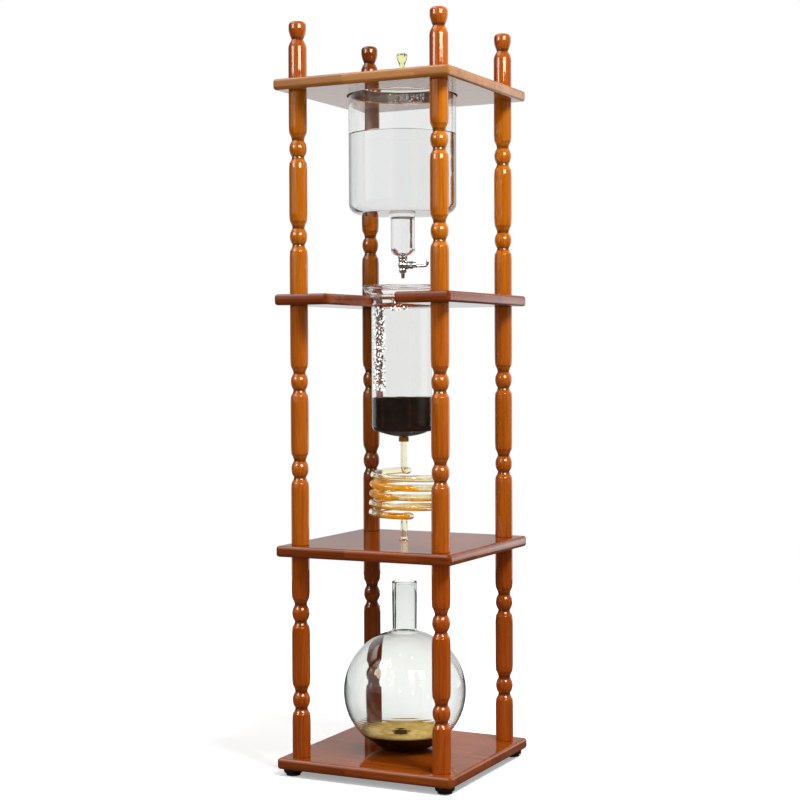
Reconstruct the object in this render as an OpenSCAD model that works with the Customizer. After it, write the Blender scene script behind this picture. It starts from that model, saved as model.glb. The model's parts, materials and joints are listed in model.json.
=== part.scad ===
// Cold drip coffee tower: four wooden boards on turned spindles carry a lidded glass water
// vessel with a metal tap, a glass coffee chamber with a drip coil, and a round glass flask.
// Millimetres, +Z up, front (the open side of the notch) towards -Y.
// The origin lies on the floor, under the middle of the base board.

/* [Boards] */
// Width and depth of every board
board_w = 280; // [232:1:340]
// Thickness of every board
board_t = 16; // [13:0.5:22]
// Rounding of the long edges of the boards
edge_r = 4.5; // [2:0.5:5]
// Clear height between base board and lower shelf
base_bay = 294; // [240:1:360]
// Clear height between lower and middle shelf
middle_bay = 349; // [285:1:420]
// Clear height between middle and top shelf
top_bay = 294; // [240:1:360]
// Radius of the hole under the drip coil
drip_hole_r = 5; // [4:0.5:6]

/* [Spindles] */
// Diameter of the straight parts of a spindle
post_d = 26.4; // [23.4:0.2:32]
// Diameter of the turned beads
bead_d = 24.6; // [20.4:0.2:30]
// Diameter at the necks and grooves beside the beads
neck_d = 19.4; // [17:0.2:20]
// Distance of the spindle axis from both board edges
post_inset = 27; // [22:1:30]
// Length of the middle barrel of a spindle
barrel_len = 104; // [90:1:120]
// Length of a turned bead
bead_len = 23; // [18:1:26]
// Height of a finial above the top shelf
finial_h = 84; // [70:1:100]

/* [Fasteners] */
// Diameter of the studs and bolts that join spindles and boards
stud_d = 6; // [4:0.5:8]
// Depth that a stud reaches into a spindle end
stud_grip = 20; // [15:1:25]
// Head diameter of the bolts under the base board
bolt_head_d = 11; // [9:0.5:12]
// Head height of the bolts under the base board
bolt_head_h = 4; // [3:0.5:4]
// Washer diameter under the bolt heads
washer_d = 13; // [12:0.5:14]
// Washer thickness
washer_t = 1.2; // [1:0.1:1.5]

/* [Feet] */
// Diameter of the wooden foot pucks
puck_d = 28; // [22:1:30]
// Height of the wooden foot pucks
puck_h = 7; // [5:0.5:12]
// Height of the rubber pads under the pucks
pad_h = 3; // [2:0.5:5]
// Distance of a foot's centre from both board edges
foot_inset = 18; // [17:0.5:22]

/* [Water vessel] */
// Outer radius of the glass cylinder
vessel_r = 79.6; // [66:0.2:96]
// Wall thickness of the vessel
vessel_wall = 3; // [2:0.25:4]
// Wall of the gasket around the vessel
gasket_wall = 1.7; // [1.2:0.1:4]
// Radius of the rounded bottom edge
vessel_corner_r = 16; // [12:1:20]
// Outer radius of the vessel's neck
vessel_neck_r = 17.6; // [14.6:0.2:21.2]
// Length of the neck below the flat bottom
vessel_neck_len = 62; // [51:1:75]
// Outer radius of the glass spout at the end of the neck
spout_r = 4.6; // [3.8:0.1:5.6]
// Depth of the water above the vessel's flat bottom
water_depth = 113; // [40:1:125]
// Height of the domed lid
lid_rise = 9; // [7:1:14]
// Height of the glass lid knob
knob_h = 29; // [24:1:36]
// Largest diameter of the lid knob
knob_d = 16; // [13:0.5:20]

/* [Tap] */
// Wall of the upright tap body around its socket
tap_wall = 1.9; // [1.6:0.1:3]
// Length of the tap body without its nozzle
tap_body_len = 25; // [23:0.5:30]
// Length of the drip nozzle below the body
nozzle_len = 8; // [6:0.5:10]
// Height of the nozzle's tip above the middle shelf
drip_h = 24.8; // [20:0.2:36]
// Radius of the turning plug
plug_r = 3; // [2.5:0.1:3.4]
// Reach of the side boss from the tower axis
boss_reach = 13; // [12:0.5:16]
// Length of the lever's straight arm
lever_arm = 12; // [9:0.5:16]
// Radius of the lever's rod
lever_r = 2.2; // [1.8:0.1:2.4]
// Bend radius of the upturned lever end
lever_curl = 5.5; // [4:0.5:7]

/* [Coffee chamber] */
// Outer radius of the chamber's cylinder
chamber_r = 47; // [39:0.1:56.5]
// Wall thickness of the chamber
chamber_wall = 2.5; // [2:0.25:3]
// Reach of the chamber's flange past the notch's edge
flange_lip = 6.5; // [5:0.5:9]
// Height of the flange rim above the middle shelf
flange_h = 14; // [10:0.5:18]
// Height of the chamber's bowl above the lower shelf
bowl_h = 155; // [140:1:185]
// Height of the coffee grounds above the bowl's lowest point
grounds_h = 60; // [40:1:90]

/* [Drip coil] */
// Outer diameter of the coiled glass tube
tube_d = 9.8; // [8:0.1:10.4]
// Outer radius of the coil
coil_r = 53; // [44:0.5:57]
// Growth of the coil's radius from its first to its last turn
coil_spread = 3; // [0:0.5:5]
// Drop of one turn
coil_pitch = 14; // [12:0.5:16]
// Turns from stem to stem
coil_turns = 4.67; // [3:0.01:5.2]
// Length of the upright inlet stem
inlet_len = 39; // [24:1:48]

/* [Flask] */
// Outer radius of the flask's globe
globe_r = 91; // [75:0.5:94]
// Radius of the flat that the flask stands on
flask_flat_r = 30; // [28:1:50]
// Outer radius of the flask's neck
flask_neck_r = 18; // [14:0.5:22]
// Air between the flask's mouth and the lower shelf
mouth_air = 44.2; // [20:0.2:53]
// Wall thickness of the flask
flask_wall = 2.2; // [1.5:0.1:3]
// Depth of the brewed coffee
coffee_depth = 24; // [12:1:50]

/* [Hidden] */

wood = [0.69, 0.36, 0.13];
dark_wood = [0.60, 0.29, 0.11];
steel = [0.62, 0.63, 0.65];
chrome = [0.86, 0.87, 0.88];
black_rubber = [0.08, 0.08, 0.08];
clear_glass = [0.84, 0.90, 0.90, 0.45];
green_glass = [0.80, 0.86, 0.62, 0.8];
amber = [0.85, 0.62, 0.22, 0.8];
grounds_brown = [0.11, 0.07, 0.06];
coffee_brown = [0.30, 0.22, 0.10];
felt_white = [0.93, 0.92, 0.88];
water_clear = [0.86, 0.93, 0.95, 0.35];

// Circles are true circles above twelve facets
$fn = 96;
// Steps of a computed quarter arc
arc_steps = 7;
// Air between pieces that lift or slide apart
seat_gap = 0.3;
// Radial air of a running fit
fit_gap = 0.08;
// Overshoot of a cutting tool
cut = 1;

// Heights of the board tops
foot_h = pad_h + puck_h;
base_top = foot_h + board_t;
lower_top = base_top + base_bay + board_t;
middle_top = lower_top + middle_bay + board_t;
top_top = middle_top + top_bay + board_t;

// Spindle axes and their names' corners
post_x = board_w / 2 - post_inset;
foot_x = board_w / 2 - foot_inset;
corners = [[-1, -1], [1, -1], [-1, 1], [1, 1]];
corner_names = ["fl", "fr", "bl", "br"];

// Turned sections of a spindle
cove_len = 11;
flare_len = 9;
ease_len = 12;
ease = 1.2;
end_bevel = 0.6;
stud_bore_r = stud_d / 2 + fit_gap;
stud_hole_r = stud_d / 2 + 0.25;
bore_depth = stud_grip + 2;

// Counterbore for bolt head and washer under the base board
counterbore_r = washer_d / 2 + 0.5;
counterbore_h = bolt_head_h + washer_t + 0.8;

// Gasket between the top shelf and the vessel, and the hole that carries both
gasket_t = 1.5;
gasket_reach = 8;
gasket_skirt = board_t + 2;
gasket_r = vessel_r + 0.4;
vessel_hole_r = gasket_r + gasket_wall + seat_gap;

// Vessel heights
rim_r = vessel_hole_r + 6;
rim_t = 4;
rim_under = top_top + gasket_t + seat_gap;
rim_top = rim_under + rim_t;
neck_fillet = 8;
spout_len = 8;
spout_cone = 8;
spout_bore_r = spout_r - 2;

// Lid and knob
lid_t = 3;
lid_r = rim_r - 2;
lid_skirt_h = 6;
lid_skirt_t = 3;
lid_skirt_r = vessel_r - vessel_wall - 0.7;
lid_base = rim_top + seat_gap;
knob_flat_r = 8;
lid_top = lid_base + lid_t + lid_rise;
knob_foot_r = 5;
knob_stem_r = 3.6;

// Tap heights: the socket grips the spout through the sleeve
socket_depth = spout_len - 1;
tap_bottom = middle_top + drip_h + nozzle_len;
tap_top = tap_bottom + tap_body_len;
spout_end = tap_top - socket_depth;
vessel_floor = spout_end + vessel_neck_len + spout_len - 1;
neck_end = vessel_floor - vessel_neck_len + spout_cone;
plug_z = tap_top - 13.5;
body_bowl_h = 7;
nozzle_r = 3.2;
nozzle_tip_r = 2.4;
drip_bore_r = 1.4;
sleeve_r = spout_r + 0.8;
tap_r = sleeve_r + fit_gap + tap_wall;
collar_groove = 0.8;
boss_r = plug_r + 1.6;
plug_start = -plug_r - 1;
nut_len = 4.5;
nut_r = boss_r + 1;
hub_start = boss_reach + nut_len + 2 * seat_gap;
hub_len = 5;
hub_r = 4.2;
lever_drop = 1.8;
lever_bend = 115;
pin_r = 0.8;

// Chamber heights: its flared neck rests inside the notch's edge
notch_r = chamber_r + 6.5;
flange_r = notch_r + flange_lip;
chamber_bottom = lower_top + bowl_h;
bowl_rise = 8;
chamber_corner_r = 9;
bowl_r = chamber_r - chamber_corner_r;
throat_drop = 14;
rim_roll = 5;
outlet_r = 4.8;
outlet_len = 4;
outlet_bore_r = 3;
filter_r = 26;
filter_t = 3;

// Coil: the inlet meets the chamber's outlet inside the sleeve, the lip ends over the shelf
tube_r = tube_d / 2;
first_turn_r = coil_r - coil_spread - tube_r;
last_turn_r = coil_r - tube_r;
coupling_z = chamber_bottom - outlet_len;
inlet_top = coupling_z - seat_gap;
bend_r = 8;
entry_z = inlet_top - inlet_len - bend_r;
exit_z = entry_z - coil_pitch * coil_turns;
exit_stem_r = tube_r + 0.4;
lip_r = tube_r + 2.4;
lip_z = lower_top + seat_gap;
lip_h = 3;
coupling_sleeve_r = max(outlet_r, tube_r) + 2.7;
coupling_sleeve_h = 7;
entry_angle = 90;
exit_angle = entry_angle + 360 * coil_turns;
spiral_sweep = 150;
tube_sides = 6;
rings_per_turn = 24;
bend_rings = 6;
spiral_rings = 12;

// Flask heights
flask_base = base_top + seat_gap;
flask_h = base_bay - seat_gap - mouth_air;
globe_rise = sqrt(globe_r * globe_r - flask_flat_r * flask_flat_r);
globe_z = flask_base + globe_rise;
flask_neck_fillet = 6;
flask_lip_r = 1;
inner_globe_r = globe_r - flask_wall;
liquid_gap = 0.3;

// Points of an arc about [x, z], from angle a to angle b
function arc(x, z, r, a, b) = [for (i = [0:arc_steps])
    let (t = a + (b - a) * i / arc_steps) [x + r * cos(t), z + r * sin(t)]];

// One turned bead between two heights, swelling from the groove radius to the bead radius
function bead(z, len, rise = (bead_d - neck_d) / 2) = [for (i = [1:arc_steps])
    let (t = i / (arc_steps + 1)) [neck_d / 2 + rise * pow(sin(180 * t), 0.7), z + len * t]];

// Bead between a flared cove below and a cove above, each with a crisp rim at radius k.
// The straight parts next to the rims ease down to them.
function turning(z, r = post_d / 2, k = post_d / 2 - ease, n = neck_d / 2) = concat(
    [for (i = [0:arc_steps]) let (t = i / arc_steps)
        [r - ease * (1 - cos(90 * t)), z - flare_len - ease_len * (1 - t)]],
    [for (i = [1:arc_steps]) let (t = i / arc_steps)
        [k - (k - n) * sin(90 * t), z - flare_len * (1 - t)]],
    bead(z, bead_len),
    [for (i = [0:arc_steps]) let (t = i / arc_steps)
        [k - (k - n) * cos(90 * t), z + bead_len + cove_len * t]],
    [for (i = [1:arc_steps]) let (t = i / arc_steps)
        [r - ease * (1 - sin(90 * t)), z + bead_len + cove_len + ease_len * t]]);

// Outline of a spindle with a stud bore in each end
function spindle_outline(len, r = post_d / 2) = concat(
    [[stud_bore_r, 0], [r - end_bevel, 0], [r, end_bevel]],
    turning(len / 2 - barrel_len / 2 - bead_len),
    turning(len / 2 + barrel_len / 2),
    [[r, len - end_bevel], [r - end_bevel, len], [stud_bore_r, len],
     [stud_bore_r, len - bore_depth], [0, len - bore_depth], [0, bore_depth],
     [stud_bore_r, bore_depth]]);

// Outline of a finial: cylinder, round shoulder, waist and a blunt rounded head
function finial_outline(r = post_d / 2, w = neck_d / 2 - 0.6, head = bead_d / 2, cap = 6) = concat(
    [[stud_bore_r, 0], [r - end_bevel, 0], [r, end_bevel]],
    [for (i = [0:arc_steps])
        let (t = i / arc_steps) [r - (r - w) * (1 - cos(90 * t)), finial_h - 39 + 13 * t]],
    [for (i = [1:arc_steps])
        let (t = i / arc_steps) [w + (head - w) * sin(90 * t), finial_h - 26 + 16 * t]],
    arc(head - cap, finial_h - cap, cap, 0, 90),
    [[0, finial_h], [0, bore_depth], [stud_bore_r, bore_depth]]);

// Rounded rectangle of width w and height h
function rounded_outline(w, h, r) = concat(
    arc(w / 2 - r, h / 2 - r, r, 0, 90), arc(r - w / 2, h / 2 - r, r, 90, 180),
    arc(r - w / 2, r - h / 2, r, 180, 270), arc(w / 2 - r, r - h / 2, r, 270, 360));

module lathe(points) {
    rotate_extrude() polygon(points);
}

// Board with all its edges rounded, its top face at height z
module board(z) {
    long = board_w + 2 * cut;
    translate([0, 0, z - board_t / 2])
        intersection() {
            translate([0, 0, -board_t / 2])
                linear_extrude(board_t) polygon(rounded_outline(board_w, board_w, edge_r));
            translate([0, long / 2, 0]) rotate([90, 0, 0])
                linear_extrude(long) polygon(rounded_outline(board_w, board_t, edge_r));
            translate([-long / 2, 0, 0]) rotate([90, 0, 90])
                linear_extrude(long) polygon(rounded_outline(board_w, board_t, edge_r));
        }
}

// Holes for the studs through a board whose top is at height z
module stud_holes(z) {
    for (c = corners)
        translate([c.x * post_x, c.y * post_x, z - board_t - cut])
            cylinder(h = board_t + 2 * cut, r = stud_hole_r);
}

module at_corner(i, z) {
    translate([corners[i].x * post_x, corners[i].y * post_x, z]) children();
}

module base_board() {
    color(wood)
        difference() {
            board(base_top);
            stud_holes(base_top);
            for (i = [0:3])
                at_corner(i, foot_h - cut) cylinder(h = counterbore_h + cut, r = counterbore_r);
        }
}

module lower_shelf() {
    color(wood)
        difference() {
            board(lower_top);
            stud_holes(lower_top);
            translate([0, 0, lower_top - board_t - cut])
                cylinder(h = board_t + 2 * cut, r = drip_hole_r);
        }
}

module middle_shelf() {
    color(wood)
        difference() {
            board(middle_top);
            stud_holes(middle_top);
            translate([0, 0, middle_top - board_t - cut])
                cylinder(h = board_t + 2 * cut, r = notch_r);
            translate([-notch_r, -board_w, middle_top - board_t - cut])
                cube([2 * notch_r, board_w, board_t + 2 * cut]);
        }
}

module top_shelf() {
    color(wood)
        difference() {
            board(top_top);
            stud_holes(top_top);
            translate([0, 0, top_top - board_t - cut])
                cylinder(h = board_t + 2 * cut, r = vessel_hole_r);
        }
}

module spindle(i, z, len) {
    color(dark_wood) at_corner(i, z) lathe(spindle_outline(len));
}

module lower_spindle(i) {
    spindle(i, base_top, base_bay);
}

module middle_spindle(i) {
    spindle(i, lower_top, middle_bay);
}

module upper_spindle(i) {
    spindle(i, middle_top, top_bay);
}

module finial(i) {
    color(dark_wood) at_corner(i, top_top) lathe(finial_outline());
}

// Double-ended studs through the three shelves
module joint_studs() {
    color(steel)
        for (i = [0:3], z = [lower_top, middle_top, top_top])
            at_corner(i, z - board_t - stud_grip)
                cylinder(h = board_t + 2 * stud_grip, d = stud_d);
}

module base_bolts() {
    head_top = foot_h + counterbore_h - washer_t;
    color(steel)
        for (i = [0:3]) {
            at_corner(i, head_top - bolt_head_h) cylinder(h = bolt_head_h, d = bolt_head_d);
            at_corner(i, head_top) cylinder(h = base_top + stud_grip - head_top, d = stud_d);
        }
}

module base_washers() {
    color(steel)
        for (i = [0:3])
            at_corner(i, foot_h + counterbore_h - washer_t)
                difference() {
                    cylinder(h = washer_t, d = washer_d);
                    translate([0, 0, -cut]) cylinder(h = washer_t + 2 * cut, r = stud_hole_r);
                }
}

module foot_pucks() {
    r = puck_d / 2;
    round_r = puck_h / 2;
    color(wood)
        for (c = corners)
            translate([c.x * foot_x, c.y * foot_x, pad_h])
                lathe(concat([[0, 0]], arc(r - round_r, round_r, round_r, -90, 0),
                    [[r, puck_h], [0, puck_h]]));
}

module foot_pads() {
    r = puck_d / 2 - puck_h / 2;
    color(black_rubber)
        for (c = corners)
            translate([c.x * foot_x, c.y * foot_x, 0]) cylinder(h = pad_h, r = r);
}

// Rubber ring with a flange on the top shelf and a skirt in its hole
module vessel_gasket() {
    skirt_r = vessel_hole_r - seat_gap;
    color(black_rubber)
        lathe([[gasket_r, top_top - gasket_skirt], [skirt_r, top_top - gasket_skirt],
            [skirt_r, top_top], [vessel_hole_r + gasket_reach, top_top],
            [vessel_hole_r + gasket_reach, top_top + gasket_t], [gasket_r, top_top + gasket_t]]);
}

// Glass cylinder with a flat rim, a round bottom edge, a neck and a narrow spout
module water_vessel() {
    r = vessel_r;
    w = vessel_wall;
    c = vessel_corner_r;
    n = vessel_neck_r;
    f = neck_fillet;
    z = vessel_floor;
    outer = concat(
        [[spout_r, spout_end], [spout_r, neck_end - spout_cone]],
        [for (i = [1:arc_steps]) let (t = i / arc_steps)
            [spout_r + (n - spout_r) * sin(90 * t), neck_end - spout_cone * cos(90 * t)]],
        arc(n + f, z - f, f, 180, 90), arc(r - c, z + c, c, -90, 0),
        [[r, rim_under], [rim_r, rim_under]], arc(rim_r - 1, rim_top - 1, 1, 0, 90));
    inner = concat(
        [[r - w, rim_top]], arc(r - c, z + c, c - w, 0, -90), arc(n + f, z - f, f + w, 90, 180),
        [for (i = [0:arc_steps]) let (t = i / arc_steps)
            [spout_bore_r + (n - w - spout_bore_r) * cos(90 * t),
             neck_end + w - spout_cone * sin(90 * t)]],
        [[spout_bore_r, spout_end]]);
    color(clear_glass) lathe(concat(outer, inner));
}

// Water that stands in the vessel and its neck
module vessel_water() {
    w = vessel_wall + liquid_gap;
    c = vessel_corner_r;
    n = vessel_neck_r;
    f = neck_fillet;
    z = vessel_floor;
    level = z + vessel_wall + water_depth;
    color(water_clear)
        lathe(concat([[0, neck_end + w], [n - w, neck_end + w]],
            arc(n + f, z - f, f + w, 180, 90), arc(vessel_r - c, z + c, c - w, -90, 0),
            [[vessel_r - w, level], [0, level]]));
}

// Silicone sleeve between the glass spout and the tap's socket
module tap_sleeve() {
    color(felt_white)
        translate([0, 0, spout_end])
            difference() {
                cylinder(h = socket_depth, r = sleeve_r);
                translate([0, 0, -cut])
                    cylinder(h = socket_depth + 2 * cut, r = spout_r + fit_gap);
            }
}

// Upright tap body with a round bowl, a side boss, a socket on top and a cross bore
module tap_body() {
    r = tap_r;
    color(chrome)
        difference() {
            union() {
                lathe(concat([[0, tap_bottom], [nozzle_r + 0.6, tap_bottom]],
                    [for (i = [1:arc_steps]) let (t = i / arc_steps)
                        [nozzle_r + 0.6 + (r - nozzle_r - 0.6) * sin(90 * t),
                         tap_bottom + body_bowl_h * (1 - cos(90 * t))]],
                    [[r, tap_top - 6], [r - collar_groove, tap_top - 5],
                     [r - collar_groove, tap_top - 3.5], [r + 0.3, tap_top - 2.5],
                     [r + 0.3, tap_top - 0.8], [r - 0.4, tap_top], [0, tap_top]]));
                translate([0, 0, plug_z]) rotate([0, 90, 0])
                    cylinder(h = boss_reach, r1 = r - 0.4, r2 = boss_r);
            }
            translate([0, 0, spout_end - 0.1])
                cylinder(h = socket_depth + cut, r = sleeve_r + fit_gap);
            translate([0, 0, tap_bottom - cut])
                cylinder(h = tap_body_len + 2 * cut, r = drip_bore_r);
            translate([plug_start - fit_gap, 0, plug_z]) rotate([0, 90, 0])
                cylinder(h = boss_reach - plug_start + cut, r = plug_r + fit_gap);
        }
}

module tap_nozzle() {
    color(chrome)
        lathe([[drip_bore_r, tap_bottom - nozzle_len], [nozzle_tip_r, tap_bottom - nozzle_len],
            [nozzle_r, tap_bottom - 2], [nozzle_r, tap_bottom], [drip_bore_r, tap_bottom]]);
}

// Turning plug with its cross hole, and the thinner end that carries the lever
module tap_plug() {
    end_r = plug_r - 1;
    color(chrome)
        difference() {
            union() {
                translate([plug_start, 0, plug_z]) rotate([0, 90, 0])
                    cylinder(h = hub_start - seat_gap - plug_start, r = plug_r);
                translate([boss_reach, 0, plug_z]) rotate([0, 90, 0])
                    cylinder(h = hub_start + hub_len - 1 - boss_reach, r = end_r);
            }
            translate([0, 0, plug_z - plug_r - cut])
                cylinder(h = 2 * plug_r + 2 * cut, r = drip_bore_r);
            translate([hub_start + hub_len / 2 - 0.5, 0, plug_z - plug_r - cut])
                cylinder(h = 2 * plug_r + 2 * cut, r = pin_r + fit_gap);
        }
}

// Six-sided nut that holds the plug's packing in the boss
module tap_packing_nut() {
    color(chrome)
        translate([boss_reach + 0.1, 0, plug_z]) rotate([0, 90, 0])
            difference() {
                cylinder(h = nut_len, r = nut_r, $fn = 6);
                translate([0, 0, -cut])
                    cylinder(h = nut_len + 2 * cut, r = plug_r + fit_gap);
            }
}

// Lever: a hub on the plug's end, a straight rod and an upturned end with a blunt tip
module tap_lever() {
    rod_z = plug_z - lever_drop;
    tip_r = lever_r - 0.05;
    tip_len = 1.4;
    curl_x = hub_start + hub_len + lever_arm;
    color(chrome)
        difference() {
            union() {
                translate([hub_start, 0, plug_z]) rotate([0, 90, 0])
                    cylinder(h = hub_len, r = hub_r);
                translate([hub_start + hub_len - 1, 0, rod_z]) rotate([0, 90, 0])
                    cylinder(h = lever_arm + 1, r = lever_r);
                translate([curl_x, 0, rod_z + lever_curl]) rotate([90, 0, 0]) rotate(-90)
                    rotate_extrude(angle = lever_bend) translate([lever_curl, 0])
                        circle(lever_r);
                translate([curl_x + lever_curl * sin(lever_bend), 0,
                        rod_z + lever_curl * (1 - cos(lever_bend))])
                    rotate([0, 90 - lever_bend, 0])
                        lathe([[0, -0.4], [tip_r, -0.4], [tip_r, 0], [tip_r - 0.5, tip_len - 0.5],
                            [tip_r - 1.3, tip_len], [0, tip_len]]);
            }
            translate([hub_start - cut, 0, plug_z]) rotate([0, 90, 0])
                cylinder(h = hub_len - 0.8 + cut, r = plug_r - 1 + fit_gap);
            translate([hub_start + hub_len / 2 - 0.5, 0, plug_z - hub_r - cut])
                cylinder(h = 2 * hub_r + 2 * cut, r = pin_r + fit_gap);
        }
}

module tap_lever_pin() {
    color(steel)
        translate([hub_start + hub_len / 2 - 0.5, 0, plug_z - hub_r])
            cylinder(h = 2 * hub_r, r = pin_r);
}

// Shallow domed glass lid with a flat for the knob and a skirt inside the vessel's mouth
module vessel_lid() {
    outer_r = lid_skirt_r;
    inner_r = lid_skirt_r - lid_skirt_t;
    n = 2 * arc_steps;
    last = acos(knob_flat_r / outer_r);
    upper = [for (i = [0:n]) let (q = last * i / n)
        [outer_r * cos(q), lid_base + lid_t + lid_rise * sin(q) / sin(last)]];
    under = [for (i = [n:-1:0]) let (q = 90 * i / n)
        [inner_r * cos(q), lid_base + lid_rise * sin(q)]];
    color(clear_glass)
        lathe(concat([[inner_r, lid_base - lid_skirt_h], [outer_r, lid_base - lid_skirt_h],
            [outer_r, lid_base]], arc(lid_r - lid_t / 2, lid_base + lid_t / 2, lid_t / 2, -90, 90),
            upper, [[0, lid_top]], under));
}

// Tulip-shaped glass knob on a round foot
module lid_knob() {
    r = knob_d / 2;
    stem_z = 2;
    cup_h = 13;
    cap_h = 3;
    cup_z = knob_h - cup_h - cap_h;
    color(green_glass)
        translate([0, 0, lid_top])
            lathe(concat([[0, 0], [knob_foot_r, 0], [knob_foot_r, 1], [knob_stem_r, stem_z],
                [knob_stem_r, cup_z - 1]],
                [for (i = [0:arc_steps]) let (t = i / arc_steps)
                    [knob_stem_r + 1 + (r - knob_stem_r - 1) * sin(90 * t), cup_z + cup_h * t]],
                [for (i = [1:arc_steps]) let (t = i / arc_steps)
                    [r * cos(90 * t), knob_h - cap_h * (1 - sin(90 * t))]]));
}

// Inner height of the chamber's bowl at radius r
function bowl_z(r) = chamber_bottom + chamber_wall + bowl_rise * pow(r / bowl_r, 2);

// Glass cylinder with a flared, rolled rim, a shallow bowl and a short outlet
module coffee_chamber() {
    r = chamber_r;
    w = chamber_wall;
    c = chamber_corner_r;
    z = chamber_bottom + bowl_rise;
    throat = middle_top - throat_drop;
    top = middle_top + flange_h;
    seat_r = notch_r - seat_gap;
    outer = concat([[outlet_r, coupling_z]],
        [for (i = [0:arc_steps]) let (x = outlet_r + (bowl_r - outlet_r) * i / arc_steps)
            [x, bowl_z(x) - w]],
        arc(bowl_r, z + c, c, -75, 0),
        [[r, throat], [seat_r, middle_top - 1], [seat_r, middle_top + seat_gap],
         [flange_r - 2, top - rim_roll]],
        arc(flange_r - rim_roll / 2, top - rim_roll / 2, rim_roll / 2, -60, 150));
    inner = concat([[seat_r - w, middle_top + 2], [seat_r - w, middle_top], [r - w, throat - 1]],
        arc(bowl_r, z + c, c - w, 0, -75),
        [for (i = [arc_steps:-1:0]) let (x = outlet_bore_r + (bowl_r - outlet_bore_r) * i / arc_steps)
            [x, bowl_z(x)]],
        [[outlet_bore_r, coupling_z]]);
    color(clear_glass) lathe(concat(outer, inner));
}

// Filter that lies in the bowl over the outlet
module filter_disc() {
    color(felt_white)
        translate([0, 0, bowl_z(filter_r) + fit_gap]) cylinder(h = filter_t, r = filter_r);
}

module coffee_grounds() {
    r = chamber_r - chamber_wall - liquid_gap;
    c = chamber_corner_r - chamber_wall - liquid_gap;
    bottom = bowl_z(filter_r) + filter_t + 2 * fit_gap;
    edge = chamber_bottom + bowl_rise + chamber_corner_r;
    color(grounds_brown)
        lathe(concat([[0, bottom], [filter_r, bottom]], [[bowl_r, bowl_z(bowl_r) + 1]],
            arc(bowl_r, edge, c, -60, 0),
            [[r, chamber_bottom + grounds_h], [0, chamber_bottom + grounds_h]]));
}

// Amber sleeve that joins the chamber's outlet to the coil's inlet
module outlet_sleeve() {
    bore = max(outlet_r, tube_r) + fit_gap;
    color(amber)
        translate([0, 0, chamber_bottom - coupling_sleeve_h - seat_gap])
            difference() {
                cylinder(h = coupling_sleeve_h, r = coupling_sleeve_r);
                translate([0, 0, -cut]) cylinder(h = coupling_sleeve_h + 2 * cut, r = bore);
            }
}

// The coil's path is a list of [centre, up vector, tube radius], from the inlet to the lip
function dir(a) = [cos(a), sin(a), 0];
function unit(v) = v / norm(v);

function stem_path(z0, z1, n, up, r) = [for (i = [0:n - 1])
    [[0, 0, z0 + (z1 - z0) * i / n], up, r]];

// Quarter bend in the upright plane at angle a, side = 1 at the inlet and -1 at the outlet
function bend_path(t, a, z, side) = let (q = 90 * t) [
    dir(a) * bend_r * (1 - cos(q)) + [0, 0, z + side * bend_r * (1 - sin(q))],
    dir(a) * side * cos(q) + [0, 0, sin(q)], tube_r];

// Radius of the helix at angle a
function turn_r(a) = first_turn_r
    + (last_turn_r - first_turn_r) * (a - entry_angle) / (exit_angle - entry_angle);

// Widening spiral from the bend to the full radius, t from 0 to 1
function spiral_path(t, a, z, side) = [
    (bend_r + (turn_r(a + side * spiral_sweep * t * t) - bend_r) * sin(90 * t))
            * dir(a + side * spiral_sweep * t * t)
        + [0, 0, z - side * coil_pitch * spiral_sweep * t * t / 360], [0, 0, 1], tube_r];

function helix_path(n, a0, a1) = [for (i = [1:n - 1]) let (a = a0 + (a1 - a0) * i / n)
    [turn_r(a) * dir(a) + [0, 0, entry_z - coil_pitch * (a - entry_angle) / 360],
     [0, 0, 1], tube_r]];

helix_rings = round((coil_turns - 2 * spiral_sweep / 360) * rings_per_turn);
coil_path = concat(
    stem_path(inlet_top, entry_z + bend_r, 4, dir(entry_angle), tube_r),
    [for (i = [0:bend_rings]) bend_path(i / bend_rings, entry_angle, entry_z, 1)],
    [for (i = [1:spiral_rings]) spiral_path(i / spiral_rings, entry_angle, entry_z, 1)],
    helix_path(helix_rings, entry_angle + spiral_sweep, exit_angle - spiral_sweep),
    [for (i = [spiral_rings:-1:1]) spiral_path(i / spiral_rings, exit_angle, exit_z, -1)],
    [for (i = [bend_rings:-1:1]) bend_path(i / bend_rings, exit_angle, exit_z, -1)],
    stem_path(exit_z - bend_r, lip_z + lip_h, 3, -dir(exit_angle), exit_stem_r),
    [[[0, 0, lip_z + lip_h], -dir(exit_angle), exit_stem_r],
     [[0, 0, lip_z + 1], -dir(exit_angle), lip_r],
     [[0, 0, lip_z], -dir(exit_angle), lip_r]]);

// Ring of points about one path entry, square to the path's direction
function coil_ring(i) = let (
    p = coil_path,
    last = len(p) - 1,
    t = i == 0 || i == last ? [0, 0, -1] : unit(p[min(i + 1, last)][0] - p[max(i - 1, 0)][0]),
    side = unit(cross(t, p[i][1])),
    up = cross(side, t))
    [for (k = [0:tube_sides - 1]) let (a = 360 * k / tube_sides)
        p[i][0] + p[i][2] * (cos(a) * side + sin(a) * up)];

// Least air between two stretches of the tube that are not neighbours on the path
neighbour_rings = 8;
coil_gap = min([for (i = [0:len(coil_path) - 1 - neighbour_rings],
        j = [i + neighbour_rings:len(coil_path) - 1])
    norm(coil_path[i][0] - coil_path[j][0]) - coil_path[i][2] - coil_path[j][2]]);

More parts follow.
